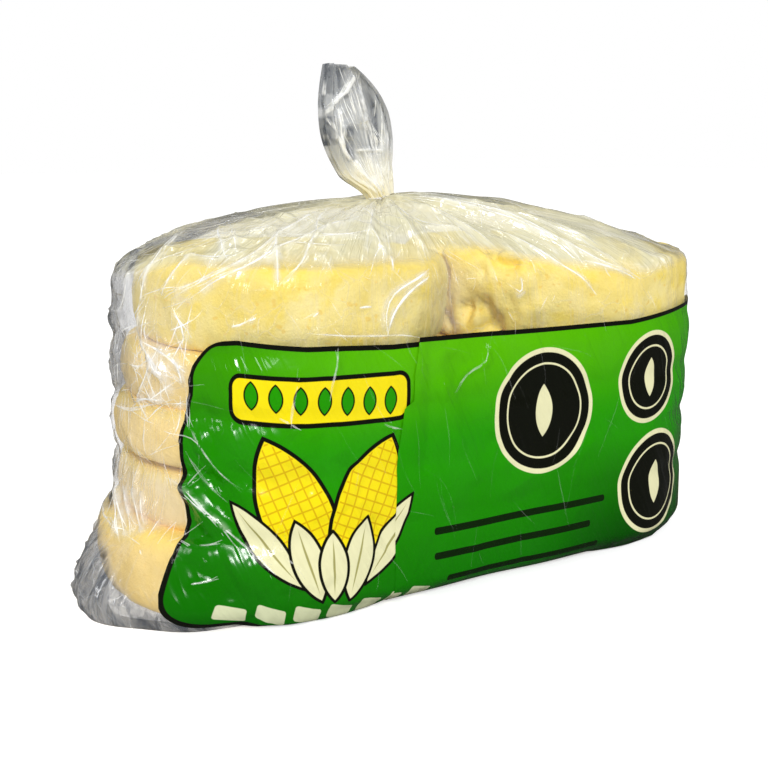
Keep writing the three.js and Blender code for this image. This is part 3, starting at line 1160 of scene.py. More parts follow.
def film_material(name, settings, haze_colour, warm_colour, fine_size, spacing, bands, calm=False):
    """Thin film: clear where it clings, milky where it stands off, painted dark where it is edge-on as a
    painted reflection of the dim room, and white along its creases as whitened film with painted highlights
    """
    material, tree, shader = new_material(name)
    place = object_place(tree)
    flat = read_place(tree, "flat_place")
    veil = read_value(tree, "veil")
    crest = read_value(tree, "crest")
    warm = read_value(tree, "warm")
    dim = read_value(tree, "dim")
    crinkle = use_group(film_crinkle, place, Size=fine_size, Sharpness=0.3)
    streaks = use_group(film_streaks, flat, Spacing=spacing, Length=0.045, Thinness=16.0, Seed=2.0)

    # How much the outer side hides: haze, cream over the tops, painted dark rims and panes (painted
    # reflection and painted shade), and white crests of whitened film with painted highlights
    uneven = cloud_mask(place, 0.018, 4.0, 0.30, 0.70, 3.0).between(0.0, 1.0, 0.70, 1.20)
    spread = uneven * (settings.milky_alpha - settings.clear_alpha)
    hazy = veil.times_plus(spread, settings.clear_alpha)
    creamy = calc("MULTIPLY", uneven, settings.cream_alpha, clamp=True)
    outer = calc("MAXIMUM", hazy, warm * creamy)
    # Painted reflection: film seen edge-on is painted dark, for the dim room it would mirror
    inputs = {"Blend": 0.5, "Normal": read_place(tree, "calm") if calm else None}
    facing = result(tree, "ShaderNodeLayerWeight", inputs, "Facing")
    patches = noise(place, 55.0, 3.0, roughness=0.6).between(0.42, 0.58, 0.45, 1.0)
    edge_on = facing.between(mix_numbers(warm, 0.82, 0.88), 0.97) * mix_numbers(warm, 1.0, 0.55)
    drawn = vector_calc("MULTIPLY", flat, (420.0, 130.0, 200.0))
    crumpled = noise(drawn, 1.0, 3.0, distortion=1.2).between(0.30, 0.70, 1.0, 0.60)
    # Painted dark: the edge-on painted reflection, and the painted shade kept in dim
    dark = calc("MAXIMUM", edge_on * patches, dim * crumpled)
    outer = mix_numbers(dark, outer, settings.rim_alpha)
    # Painted highlights: white broken lines along the crests, thin streaks and the crests of small crinkles
    broken = noise(place, 260.0).between(0.34, 0.56, 0.35, 1.0)
    line = crest.between(0.10, 0.90, 0.0, bands) * broken
    thin = streaks["Mask"] * warm.between(0.0, 1.0, 0.14, 0.40, smooth=False)
    thin = calc("MAXIMUM", thin, crinkle["Crest"] * 0.16)
    white = calc("MAXIMUM", line, thin)
    outer = mix_numbers(white, outer, settings.crest_alpha)

    # The far side, seen from within, is painted dim on the walls as painted shade, and creamy over the tops
    far_white = white * 0.7
    inner = mix_numbers(warm, patches * settings.far_alpha, 0.4 * settings.cream_alpha)
    inner = mix_numbers(dark, inner, settings.rim_alpha)
    inner = mix_numbers(far_white, inner, settings.crest_alpha)
    behind = result(tree, "ShaderNodeNewGeometry", output="Backfacing")
    hide = mix_numbers(behind, outer, inner)

    # The rim colour is the painted dark, and shine the colour of the painted highlights
    rim = opaque(settings.rim)
    shine = linear(252, 253, 252)
    front = blend(dark, blend(warm, haze_colour, warm_colour), rim)
    front = blend(white, front, shine)
    back = blend(dark, blend(warm, rim, warm_colour), rim)
    back = blend(far_white, back, shine)
    looks = {
        "Alpha": hide * let_light_pass(tree),
        "Base Color": blend(behind, front, back),
        "Roughness": 0.14,
        "IOR": 1.9,
        "Normal": bump(streaks["Height"].times_plus(0.6, crinkle["Height"]), 0.7, 0.0006),
    }
    set_inputs(shader, looks)
    return material


class AREPABAG_OT_film(bpy.types.Operator):
    """Makes the clear film of the walls, the bottom and the gathered top"""

    bl_idname = "arepabag.film"
    bl_label = "Clear Film"

    def execute(self, context):
        settings = context.scene.arepabag_film
        panel = context.scene.arepabag_print
        columns = film_columns()
        wall_levels = np.linspace(0.0, SHOULDER_HEIGHT, 120)
        dome_levels = SHOULDER_HEIGHT + np.linspace(0.0, DOME_SPAN, 94)[1:]
        levels = np.concatenate([wall_levels, dome_levels])
        walk, level = np.meshgrid(columns, levels)

        # Under the print the film lies a little deeper, so that the two never touch
        along = np.mod(walk - FRONT_MIDDLE + WHOLE / 2, WHOLE) - WHOLE / 2
        inside = along > panel.left_end / MM + panel_lean(level) + 1.0
        inside &= along < panel.right_end / MM - 1.0
        inside &= (level > panel_bottom(along) + 1.0) & (level < panel_top(along, along < -37) - 1.0)
        inset = settings.inset / MM + 0.35 * np.ravel(inside)
        points, normals, white = film_surface(walk, level, inset)
        points, gaps = lie_on_arepas(into_frame(points), normals, settings.clearance)

        # The bottom closes on the line between the middles of both stacks
        around = len(columns)
        rim = points[:around]
        line = np.clip(rim[:, 0], (SHIFT_X - STACK_OFFSET) * MM, (SHIFT_X + STACK_OFFSET) * MM)
        middle = np.stack([line, np.full(around, SHIFT_Y * MM), np.zeros(around)], axis=1)
        rings = []
        for share in np.linspace(0.0, 1.0, 10)[:-1]:
            ring = mix(middle, rim, share)
            ring[:, 2] = 0.0
            rings.append(ring)
        base = np.concatenate(rings)
        faces = grid_faces(len(rings) + len(levels), around, closed=True)
        everything = keep_in_box(np.concatenate([base, points]))
        haze = opaque(settings.haze)
        warm_haze = opaque(settings.warm_haze)
        material = film_material(
            "clear_film_body", settings, haze, warm_haze, 0.009, 0.0035, bands=0.42, calm=True
        )
        piece = make_object("film_body", everything, faces, material)
        flat = np.stack([np.ravel(along), np.ravel(level), np.zeros(along.size)], axis=1) * MM
        veil, warm, dim = film_look(np.ravel(along), points, gaps)
        downwards = np.tile((0.0, 0.0, -1.0), (len(base), 1))
        nothing = np.zeros(len(base))
        # The bottom is painted dim, as painted shade, and a little hazy
        put_values(
            piece.data,
            flat_place=np.concatenate([base, flat]),
            calm=np.concatenate([downwards, normals]),
            veil=np.concatenate([nothing + 0.3, veil]),
            dim=np.concatenate([nothing + 0.9, dim]),
            crest=np.concatenate([nothing, white]),
            warm=np.concatenate([nothing, warm]),
        )

        # The two halves of the bottom join along their seam
        seam = piece.modifiers.new("close", "WELD")
        seam.merge_threshold = 0.00001
        apply_modifier(piece, seam)
        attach(piece, "root")
        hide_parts("film_bag")
        return {"FINISHED"}


# The tail above the neck

def tail_point(turn, share, depth, pleats, seed):
    """Points of one layer of the tail; depth says how far from the middle the layer lies"""
    grown = 1 - np.maximum(0.0, 1 - share / TAIL_LEFT_FULL_AT) ** 2.6
    returned = np.maximum(0.0, (share - TAIL_LEFT_FULL_AT) / (1 - TAIL_LEFT_FULL_AT)) ** 1.5
    grown = grown * mix(0.45, 1.0, smooth_step(0.0, 0.2, share)) - 0.06 * smooth_step(0.1, 0.4, share)
    left_edge = NECK_X - NECK_RADIUS - TAIL_LEFT_REACH * grown + TAIL_LEFT_RETURN * returned
    right_edge = NECK_X + NECK_RADIUS - TAIL_RIGHT_CUT * share**4.5
    middle = (left_edge + right_edge) / 2
    half_width = (right_edge - left_edge) / 2
    spread = smooth_step(0.0, 0.3, share)
    gather = mix(neck_radius(turn) / NECK_RADIUS, 1.0, spread)
    pulled = mix(1.0, depth, spread)
    x = middle + half_width * np.cos(turn) * gather * mix(0.94, 1.0, pulled)
    wave = fold_wave(turn, pleats, 0.8, seed)
    rounded = np.sign(np.sin(turn)) * np.abs(np.sin(turn)) ** 0.8
    thickness = 3.4 * pulled * gather
    slope = NECK_TILT / NECK_RADIUS - (NECK_TILT / NECK_RADIUS + TAIL_TOP_SLOPE) * share
    z = NECK_HEIGHT + (TAIL_HEIGHT - 0.7) * share + slope * (x - middle)
    swing = 1.5 * wave * smooth_step(0.02, 0.45, share)
    return np.stack([x, thickness * rounded + swing, z], axis=-1), wave


# Folds of the tail: ridge height and width, how white it is (whitened film with painted highlights), and
# the places x and z on its path
TAIL_FOLDS = (
    (0.9, 2.0, 1.00, ((-27.1, 162.5), (-30.1, 156.2), (-32.3, 154.3), (-38.2, 149.2))),
    (0.9, 1.8, 1.00, ((-26.7, 162.5), (-24.9, 153.9), (-22.7, 147.6), (-17.4, 139.9))),
    (0.8, 2.0, 0.95, ((-32.3, 151.2), (-31.6, 145.0), (-31.0, 138.6))),
    (1.0, 2.8, 0.95, ((-26.4, 157.0), (-25.0, 151.0), (-23.5, 146.3))),
    (0.8, 1.6, 0.90, ((-22.0, 145.7), (-18.2, 132.1), (-15.9, 124.2))),
    (0.9, 2.0, 0.95, ((-37.4, 149.2), (-30.3, 137.3), (-19.0, 123.0))),
    (0.5, 1.1, 0.80, ((-26.5, 138.0), (-15.9, 138.0))),
    (0.5, 1.4, 0.85, ((-14.2, 144.5), (-14.0, 126.8))),
    (0.9, 2.2, 0.95, ((-22.8, 137.3), (-19.7, 128.2), (-17.4, 123.0))),
    (0.7, 1.8, 0.90, ((-27.0, 135.0), (-22.5, 128.0), (-18.6, 123.0))),
    (0.4, 1.0, 0.95, ((-37.3, 161.6), (-37.4, 154.8))),
    (0.5, 1.2, 0.80, ((-34.0, 149.0), (-33.6, 141.0))),
)

# Painted darker panes between them, as painted shade: how dark, half width, and the places on the pane's
# middle line
TAIL_PANES = (
    (1.00, 2.4, ((-38.6, 166.0), (-39.4, 150.0))),
    (0.95, 5.6, ((-34.0, 166.0), (-34.4, 155.0))),
    (1.00, 3.0, ((-36.0, 149.0), (-35.2, 139.0))),
    (1.00, 2.0, ((-28.8, 146.0), (-28.4, 134.0))),
    (0.90, 1.6, ((-31.0, 158.0), (-30.0, 154.0))),
    (0.95, 2.4, ((-25.0, 163.0), (-20.6, 152.0), (-19.0, 137.3))),
    (0.80, 1.3, ((-22.5, 146.0), (-20.4, 136.0))),
    (0.90, 1.8, ((-36.2, 136.1), (-31.8, 129.0), (-22.8, 123.1))),
)


class AREPABAG_OT_tail(bpy.types.Operator):
    """Makes the loose end of the film above the neck, in thin pleated layers"""

    bl_idname = "arepabag.tail"
    bl_label = "Film Tail"

    def execute(self, context):
        settings = context.scene.arepabag_film
        columns = 260
        rows = 84
        turns = np.linspace(0.0, 2 * math.pi, columns, endpoint=False)
        turn, share = np.meshgrid(turns, np.linspace(0.0, 1.0, rows))
        layers = ((1.0, 9, 0.6), (0.4, 7, 2.9))
        points = []
        faces = []
        crests = []
        flats = []
        for number, (depth, pleats, seed) in enumerate(layers):
            layer, ridge = tail_point(turn, share, depth, pleats, seed)
            points.append(layer.reshape(-1, 3))
            faces.extend(grid_faces(rows, columns, closed=True, first=number * columns * rows))
            crests.append(np.ravel(np.abs(ridge) ** 12))
            flat = np.stack([turn * 9.0 + 40.0 * number, share * TAIL_HEIGHT, 0 * share], axis=-1)
            flats.append(flat.reshape(-1, 3))
        places = np.concatenate(points)
        lift, white = crumple_tail(places)
        pane = tail_panes(places)
        places = into_frame(places + lift)
        share_up = np.tile(np.ravel(share), len(layers))
        high = smooth_step(0.45, 0.95, share_up)
        outermost = np.arange(len(places)) < columns * rows
        haze = linear(226, 229, 230)
        cream = linear(252, 248, 224)
        material = film_material("clear_film_tail", settings, haze, cream, 0.008, 0.003, bands=0.9)
        piece = make_object("film_tail", keep_in_box(places), faces, material)
        # The outer layer is painted dim in the panes and towards the top, and the inner layer throughout,
        # as painted shade; the crests carry painted highlights
        put_values(
            piece.data,
            flat_place=np.concatenate(flats) * MM,
            veil=np.where(outermost, mix(1.0, 0.5, high), 0.2),
            dim=np.where(outermost, np.maximum(pane, mix(0.05, 0.4, high)), 0.35),
            crest=np.maximum(0.5 * np.concatenate(crests), white),
            warm=1 - smooth_step(0.08, 0.42, share_up),
        )
        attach(piece, "root")
        return {"FINISHED"}


def crumple_tail(points):
    """Bends of the tail along its folds and along small creases that fan out from the neck, and how white
    each point is, as whitened film with painted highlights
    """
    chance = np.random.default_rng(5)
    lift = np.zeros_like(points)
    white = np.zeros(len(points))
    flat = points * (1.0, 0.0, 1.0)
    in_front = points[:, 1] < -0.4
    for height, width, whiteness, places in TAIL_FOLDS:
        path = np.array([(x, 0.0, z) for x, z in places])
        lift[:, 1] -= height * near_path(flat, path, width) * in_front
        for _ in range(2):
            wander = chance.normal(size=path.shape) * (0.22 * width, 0.0, 0.22 * width)
            line = near_path(flat, path + wander, 0.7) * in_front
            white = np.maximum(white, whiteness * line**0.8)
    root = np.array((NECK_X, 0.0, NECK_HEIGHT - 4.0))
    for _ in range(40):
        lean = math.radians(chance.uniform(-38.0, 12.0) + chance.normal() * 6.0)
        start = chance.uniform(4.0, 30.0)
        length = chance.uniform(6.0, 20.0)
        way = np.array((math.sin(lean), 0.0, math.cos(lean)))
        across = np.array((math.cos(lean), 0.0, -math.sin(lean)))
        width = chance.uniform(0.8, 1.8)
        height = chance.uniform(-0.8, 0.8)
        side = chance.choice((-1.0, 1.0))
        apart = points - root
        run = (apart @ way - start) / length
        off = np.abs(apart @ across - chance.uniform(-2.0, 2.0)) / width
        near = np.maximum(0.0, 1 - off) * np.clip(4 * run * (1 - run), 0.0, 1.0)
        near = near * (points[:, 1] * side > -0.6)
        lift[:, 1] += height * near
        white = np.maximum(white, abs(height) * near**2)
    return lift, white


def tail_panes(points):
    """How far each point lies in one of the painted darker panes"""
    flat = points * (1.0, 0.0, 1.0)
    pane = np.zeros(len(points))
    for darkness, width, places in TAIL_PANES:
        near = near_path(flat, [(x, 0.0, z) for x, z in places], width)
        pane = np.maximum(pane, darkness * smooth_step(0.05, 0.45, near))
    return pane


# The printed panel

# How soft the edges of printed shapes are, in metres
SOFT_EDGE = 0.00012

# Sizes and places of the print, all in millimetres on the panel, with turns in degrees.
# The height of the two cobs' middles, then each cob's place across and its turn
COB_HEIGHT = 37.5
COBS = ((-73.5, -24.0), (-52.0, 22.0))

# Husks in front of them: the middle, half length, half width and turn
HUSKS = (
    (-82.5, 28.0, 14.5, 3.8, -42.0),
    (-43.0, 28.0, 14.5, 3.8, 40.0),
    (-70.5, 24.0, 11.5, 4.4, -18.0),
    (-55.0, 24.0, 11.5, 4.4, 16.0),
    (-63.0, 22.5, 9.5, 4.0, 0.0),
)

# Thin bars: their height, left end and right end
BARS = ((27.0, -25.0, 44.0), (19.4, -25.0, 38.0), (11.8, -20.0, 42.0))

# Discs: the middle and radius. Their rings are painted inwards, each this far inside the rim
DISCS = ((17.0, 58.5, 19.5), (63.0, 64.0, 15.0), (67.5, 28.5, 17.5))
DARK_RING = 1.5
CREAM_RING = 4.6
DARK_MIDDLE = 5.2


def from_middle(place, middle, turn):
    """A place as it lies from a shape's middle, with the shape turned upright"""
    return vector_calc("SUBTRACT", turned(place, turn, middle), middle)


def box_distance(name):
    """How far a place lies outside a rounded rectangle, negative inside it"""
    inputs = {"Middle": VECTOR, "Half Size": VECTOR, "Corner": 0.001, "Turn": 0.0}
    group, given, end = new_group(name, inputs, ("Distance",))
    corner = given["Corner"]
    apart = vector_calc("ABSOLUTE", from_middle(given["Place"], given["Middle"], given["Turn"]))
    inner = vector_calc("SUBTRACT", given["Half Size"], combine(corner, corner))
    over = vector_calc("SUBTRACT", apart, inner)
    outside = vector_calc("LENGTH", vector_calc("MAXIMUM", over, (0.0, 0.0, 0.0)))
    x, y, _ = over.split()
    within = calc("MINIMUM", calc("MAXIMUM", x, y), 0.0)
    set_inputs(end, {"Distance": outside + within - corner})
    return group


def leaf_distance(name):
    """How far a place lies outside a leaf with two pointed ends, negative inside it"""
    inputs = {"Middle": VECTOR, "Half Length": 0.02, "Half Width": 0.008, "Turn": 0.0}
    group, given, end = new_group(name, inputs, ("Distance",))
    length = given["Half Length"]
    width = given["Half Width"]
    apart = vector_calc("ABSOLUTE", from_middle(given["Place"], given["Middle"], given["Turn"]))
    radius = calc("DIVIDE", length * length + width * width, width * 2.0)
    centre = combine((radius - width) * -1.0, 0.0)
    away = vector_calc("LENGTH", vector_calc("SUBTRACT", apart, centre))
    set_inputs(end, {"Distance": away - radius})
    return group


def fill(colour, distance, ink, grow=0.0):
    """Paints ink over a colour wherever a distance is below zero, or below grow"""
    mask = distance.between(grow - SOFT_EDGE, grow + SOFT_EDGE, 1.0, 0.0)
    return blend(mask, colour, ink)


def outlined(colour, distance, ink, dark, line):
    return fill(fill(colour, distance, dark, grow=line * MM), distance, ink)


def print_material(settings):
    """Generic shapes and fields of colour under a gloss of film"""
    material, tree, shader = new_material("printed_film")
    place = read_place(tree, "flat_place")
    across, up, _ = place.split()
    green = opaque(settings.green)
    yellow = opaque(settings.yellow)
    cream = opaque(settings.cream)
    dark = opaque(settings.dark)

    def shape(build, x, y, turn, **sizes):
        middle = (x * MM, y * MM, 0.0)
        return use_group(build, place, Middle=middle, Turn=math.radians(turn), **sizes)["Distance"]

    def box_at(x, y, half_x, half_y, corner, turn=0.0):
        half_size = (half_x * MM, half_y * MM, 0.0)
        return shape(box_distance, x, y, turn, Half_Size=half_size, Corner=corner * MM)

    def leaf_at(x, y, half_length, half_width, turn=0.0):
        sizes = {"Half_Length": half_length * MM, "Half_Width": half_width * MM}
        return shape(leaf_distance, x, y, turn, **sizes)

    # The ground green, with light and shade painted into it: painted shade makes it deep green below and
    # darker towards both ends, most at the lower right, and a painted light makes it yellow-green along the
    # top
    height = up.between(0.004, 0.050, smooth=False)
    colour = blend(height, linear(8, 104, 0), green)
    # Painted light: yellow-green along the top, weaker towards both ends
    painted_light_aside = across.between(0.010, 0.110, 1.0, 0.35, smooth=False)
    painted_light_aside = painted_light_aside * across.between(-0.105, -0.035, 0.5, 1.0)
    colour = blend(up.between(0.052, 0.082) * painted_light_aside, colour, linear(86, 180, 2))
    # Painted shade towards the left end
    colour = blend(across.between(-0.105, -0.060, 0.34, 0.0), colour, linear(8, 88, 0))
    # Painted shade at the lower right, strongest low down
    painted_lower_right_shade = across.between(0.000, 0.060, 0.0, 0.95) * (1.0 - height)
    colour = blend(painted_lower_right_shade, colour, linear(0, 50, 0))

    # A ribbon with small kernels
    colour = outlined(colour, box_at(-65.0, 69.0, 26.5, 5.8, 2.6, -1.5), yellow, dark, 1.3)
    for number in range(7):
        kernel = leaf_at(-86.0 + 7.0 * number, 69.6 - 0.18 * number, 3.6, 1.7)
        colour = outlined(colour, kernel, green, dark, 0.45)

    # Two maize cobs, then the husks in front of them
    for x, turn in COBS:
        cob = leaf_at(x, COB_HEIGHT, 22.0, 10.0, turn)
        colour = outlined(colour, cob, yellow, dark, 1.2)
        colour = kernel_rows(colour, place, cob, x, COB_HEIGHT, turn)
    for x, y, half_length, half_width, turn in HUSKS:
        colour = outlined(colour, leaf_at(x, y, half_length, half_width, turn), cream, dark, 0.9)
        vein = leaf_at(x, y, half_length * 0.8, 0.35, turn)
        colour = fill(colour, vein, linear(160, 156, 96))

    # Lozenges along the bottom, and three thin bars
    for number in range(7):
        lozenge = box_at(-92.0 + 10.4 * number, 8.6, 3.9, 2.3, 0.8, 14.0)
        colour = fill(colour, lozenge, linear(206, 210, 172))
    for y, left, right in BARS:
        bar = box_at((left + right) / 2, y, (right - left) / 2, 1.1, 0.9)
        colour = fill(colour, bar, linear(10, 34, 4))

    # Dark discs with cream rims and a plain kernel in the middle of each
    for x, y, radius in DISCS:
        disc = box_at(x, y, radius, radius, radius - 0.01)
        colour = fill(colour, disc, cream)
        for depth, ink in ((DARK_RING, dark), (CREAM_RING, cream), (DARK_MIDDLE, dark)):
            colour = fill(colour, disc, ink, grow=-depth * MM)
        colour = fill(colour, leaf_at(x, y, radius * 0.42, radius * 0.17), cream)

    # The border follows the panel's outline
    middle_x = (settings.left_end + settings.right_end) / 2 / MM
    half_x = (settings.right_end - settings.left_end) / 2 / MM
    panel = box_at(middle_x, 44.0, half_x, 40.0, settings.corner / MM)
    rim = panel.between(-settings.border - SOFT_EDGE, -settings.border + SOFT_EDGE)
    colour = blend(rim, colour, dark)

    # Painted highlights along the creases, and the gloss of film
    painted_glint = read_value(tree, "crest").between(0.5, 1.0, 0.0, 0.6) * noise(place, 420.0).between(0.40, 0.62)
    crinkle = use_group(film_crinkle, place, Size=0.016, Sharpness=0.35)
    streaks = use_group(
        film_streaks, place, Spacing=0.006, Length=0.05, Lean=-0.5, Thinness=9.0, Seed=6.0
    )
    looks = {
        "Base Color": blend(painted_glint, colour, linear(226, 238, 214)),
        "Roughness": cloud_mask(place, 0.02, 3.0, 0.3, 0.7, 5.0).between(0.0, 1.0, 0.10, 0.20),
        "Specular IOR Level": 0.42,
        "Normal": bump(streaks["Height"].times_plus(0.9, crinkle["Height"]), 0.5, 0.0008),
    }
    set_inputs(shader, looks)
    return material


def kernel_rows(colour, place, cob, x, y, turn):
    """Darker lines between the kernels of a cob"""
    across, along, _ = from_middle(place, (x * MM, y * MM, 0.0), math.radians(turn)).split()
    across = calc("PINGPONG", across + 1.6 * MM, 1.6 * MM)
    along = calc("PINGPONG", along + 30 * MM, 1.5 * MM)
    line = calc("MINIMUM", across, along).between(0.12 * MM, 0.34 * MM, 0.8, 0.0)
    inside = cob.between(-0.4 * MM, -0.2 * MM, 1.0, 0.0)
    return blend(line * inside, colour, linear(206, 160, 8))


def tuck_edge(height):
    """Where the right part of the print starts over the left part, along the front"""
    places = [0.0, 50.0, 57.0, 63.4, 64.9, 73.0, 81.5, 90.0]
    return np.interp(height, places, [-42.6, -41.6, -40.5, -39.2, -36.2, -36.0, -34.2, -33.0])


class AREPABAG_OT_panel(bpy.types.Operator):
    """Makes the printed panel, in two sheets that overlap at a tuck"""

    bl_idname = "arepabag.panel"
    bl_label = "Printed Panel"

    def execute(self, context):
        settings = context.scene.arepabag_print
        film = context.scene.arepabag_film
        left_end = settings.left_end / MM
        right_end = settings.right_end / MM
        corner = settings.corner / MM
        rows = np.linspace(0.0, 1.0, 112)
        points = []
        normals = []
        crests = []
        flats = []
        faces = []
        started = 0
        for on_left, columns in ((True, 104), (False, 180)):
            share, row = np.meshgrid(np.linspace(0.0, 1.0, columns), rows)
            height = mix(4.0, 84.0, row)
            for _ in range(2):
                edge = tuck_edge(height)
                lean = panel_lean(height)
                if on_left:
                    along = mix(left_end + lean, edge + 4.0, share)
                else:
                    along = mix(edge, right_end, share)
                from_end = np.minimum(along - left_end - lean, right_end - along)
                rest = np.maximum(0.0, corner**2 - np.maximum(0.0, corner - from_end) ** 2)
                cut = corner - np.sqrt(rest)
                height = mix(panel_bottom(along) + cut, panel_top(along, on_left) - cut, row)
            place, normal, white = film_surface(FRONT_MIDDLE + along, height, film.inset / MM - 0.2)
            flat_height = np.ravel(mix(printed_bottom(along) + cut, 84.0 - cut, row))
            off_edge = np.ravel(np.abs(along - edge))
            strength = np.ravel(smooth_step(36.0, 60.0, height))
            if on_left:
                raised = -0.1 * np.exp(-((off_edge / 5.0) ** 2)) * strength - 0.12
                print_shift = 0.0
            else:
                raised = 0.25 * np.exp(-((off_edge / 6.0) ** 2)) * strength
                print_shift = 3.0
            points.append(place + normal * raised[:, None])
            normals.append(normal)
            # The crest marks the print's painted highlights along its creases, none right at the tuck
            crests.append(white * smooth_step(0.5, 3.0, off_edge))
            unleant = along - lean * (1 - smooth_step(0.0, 16.0, along - left_end - lean))
            flats.append(np.stack([np.ravel(unleant) + print_shift, flat_height, 0 * flat_height], 1))
            faces.extend(grid_faces(len(rows), columns, closed=False, first=started))
            started += len(place)
        places = into_frame(np.concatenate(points))
        places, _ = lie_on_arepas(places, np.concatenate(normals), film.clearance + 0.0004)
        piece = make_object("printed_panel", keep_in_box(places), faces, print_material(settings))
        put_values(piece.data, flat_place=np.concatenate(flats) * MM, crest=np.concatenate(crests))
        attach(piece, "root")
        return {"FINISHED"}


# The bright lines of pinched film: whitened film with painted highlights

def ridge_list():
    """Every bright crease: places a little outside the film, half its width in millimetres, and its shine,
    a painted highlight
    """
    chance = np.random.default_rng(33)
    ridges = []
    for _, width, white, path in MAIN_FOLDS:
        strands = round(width) if white > 0 else 0
        for strand in range(strands):
            fine = thread(path, mix(0.12, 0.30 * width, strand / max(1, strands - 1)), chance)
            if strand and len(fine) > 6:
                first = int(chance.integers(0, len(fine) // 3))
                fine = fine[first : first + max(5, len(fine) - 2 * first)]
            walk = FRONT_MIDDLE + fine[:, 0]
            places = bag_point(walk, fine[:, 1]) + 2.0 * bag_normal(walk, fine[:, 1])
            ridges.append((places, chance.uniform(0.16, 0.34), white * chance.uniform(0.6, 1.0)))
    for crease in crease_list():
        count = max(4, int(crease["half_length"] * 0.9))
        run = np.linspace(-1.0, 1.0, count)[:, None] * crease["half_length"]
        bow = chance.normal() * 0.10 * crease["half_length"] * (1 - (run / crease["half_length"]) ** 2)
        bend = np.cumsum(chance.normal(size=count) * 0.32)[:, None] + bow
        places = crease["middle"] + run * crease["along"] + bend * crease["across"]
        places = places + 2.5 * crease["normal"]
        ridges.append((places, chance.uniform(0.10, 0.26), crease["white"]))
    return ridges


def tail_ridges():
    """Bright creases of the tail, painted highlights, as places in front of it or behind it"""
    chance = np.random.default_rng(8)
    ridges = []
    for _, width, white, places in TAIL_FOLDS:
        for _ in range(max(2, round(1.5 * width))):
            path = np.array([(x, -12.0, z) for x, z in places])
            marks = np.linspace(0.0, len(path) - 1.0, 4 * len(path))
            fine = np.stack([np.interp(marks, np.arange(len(path)), path[:, part]) for part in range(3)], 1)
            fine[:, 0] += chance.normal() * 0.3 * width + chance.normal(size=len(fine)) * 0.12
            ridges.append((fine, chance.uniform(0.12, 0.3), white * chance.uniform(0.7, 1.0)))
    for _ in range(110):
        lean = math.radians(chance.uniform(-36.0, 10.0))
        start = chance.uniform(2.0, 34.0)
        run = np.linspace(start, start + chance.uniform(5.0, 16.0), 9)
        bend = np.cumsum(chance.normal(size=9) * 0.12) + chance.normal() * 0.8
        side = chance.choice((-12.0, 12.0))
        x = NECK_X + run * math.sin(lean) + bend
        z = NECK_HEIGHT - 2.0 + run * math.cos(lean)
        fine = np.stack([x, np.full(9, side), z], axis=1)
        ridges.append((fine, chance.uniform(0.08, 0.2), chance.uniform(0.3, 0.9)))
    return ridges


def laid_down(ridges, skin, straight):
    """Brings each crease onto a skin: to the nearest place, or straight through from front or back"""
    laid = []
    for places, half_width, shine in ridges:
        found = []
        ups = []
        for place in into_frame(places).tolist():
            if straight:
                side = (place[1] / MM - SHIFT_Y) / 12.0
                near, up, _, _ = skin.ray_cast(place, (0.0, -side, 0.0))
            else:
                near, up, _, _ = skin.find_nearest(place)
            if near is None:
                break
            if straight and up[1] * side < 0:
                up = -up
            found.append(near)
            ups.append(up)
        if len(found) < 4:
            continue
        found = np.array(found)
        ups = np.array(ups)
        for _ in range(2):
            found[1:-1] = (found[:-2] + 2 * found[1:-1] + found[2:]) / 4
            ups[1:-1] = (ups[:-2] + 2 * ups[1:-1] + ups[2:]) / 4
        ups /= np.linalg.norm(ups, axis=1, keepdims=True)
        laid.append((found + 0.00012 * ups, ups, half_width * MM, shine))
    return laid


def kept_value(tree, name, kind):
    """Reads in a form tree what put_values kept for each point"""
    return result(tree, "GeometryNodeInputNamedAttribute", {"Name": name}, data_type=kind)


def build_ridge_tree():
    """Narrow raised strips along the edges of a mesh, with their width and upward way at each point"""
    inputs = {"Geometry": GEOMETRY, "Rise": 0.7, "Width": 1.0, "Finish": MATERIAL}
    tree, given, end = new_tree("film_ridges", "GeometryNodeTree", inputs, {"Geometry": GEOMETRY})
    curve = result(tree, "GeometryNodeMeshToCurve", {"Mesh": given["Geometry"]})
    inputs = {"Curve": curve, "Normal": kept_value(tree, "up", "FLOAT_VECTOR")}
    upright = result(tree, "GeometryNodeSetCurveNormal", inputs, mode="FREE")
    inputs = {
        "Resolution": 2,
        "Start": (0.0, -1.0, 0.0),
        "Middle": combine(given["Rise"]),
        "End": (0.0, 1.0, 0.0),
    }
    profile = result(tree, "GeometryNodeCurveQuadraticBezier", inputs)
    scale = kept_value(tree, "half_width", "FLOAT") * given["Width"]
    inputs = {"Curve": upright, "Profile Curve": profile, "Scale": scale}
    finish_form(result(tree, "GeometryNodeCurveToMesh", inputs), given["Finish"], end)
    return tree


def ridge_material(name):
    """Pinched film: almost white as whitened film with painted highlights, and broken into short bright
    lengths
    """
    material, tree, shader = new_material(name)
    broken = noise(object_place(tree), 240.0).between(0.36, 0.60, 0.35, 1.0)
    looks = {
        "Alpha": read_value(tree, "shine") * broken * let_light_pass(tree),
        "Base Color": linear(253, 254, 251),
        "Roughness": 0.22,
    }
    set_inputs(shader, looks)
    return material


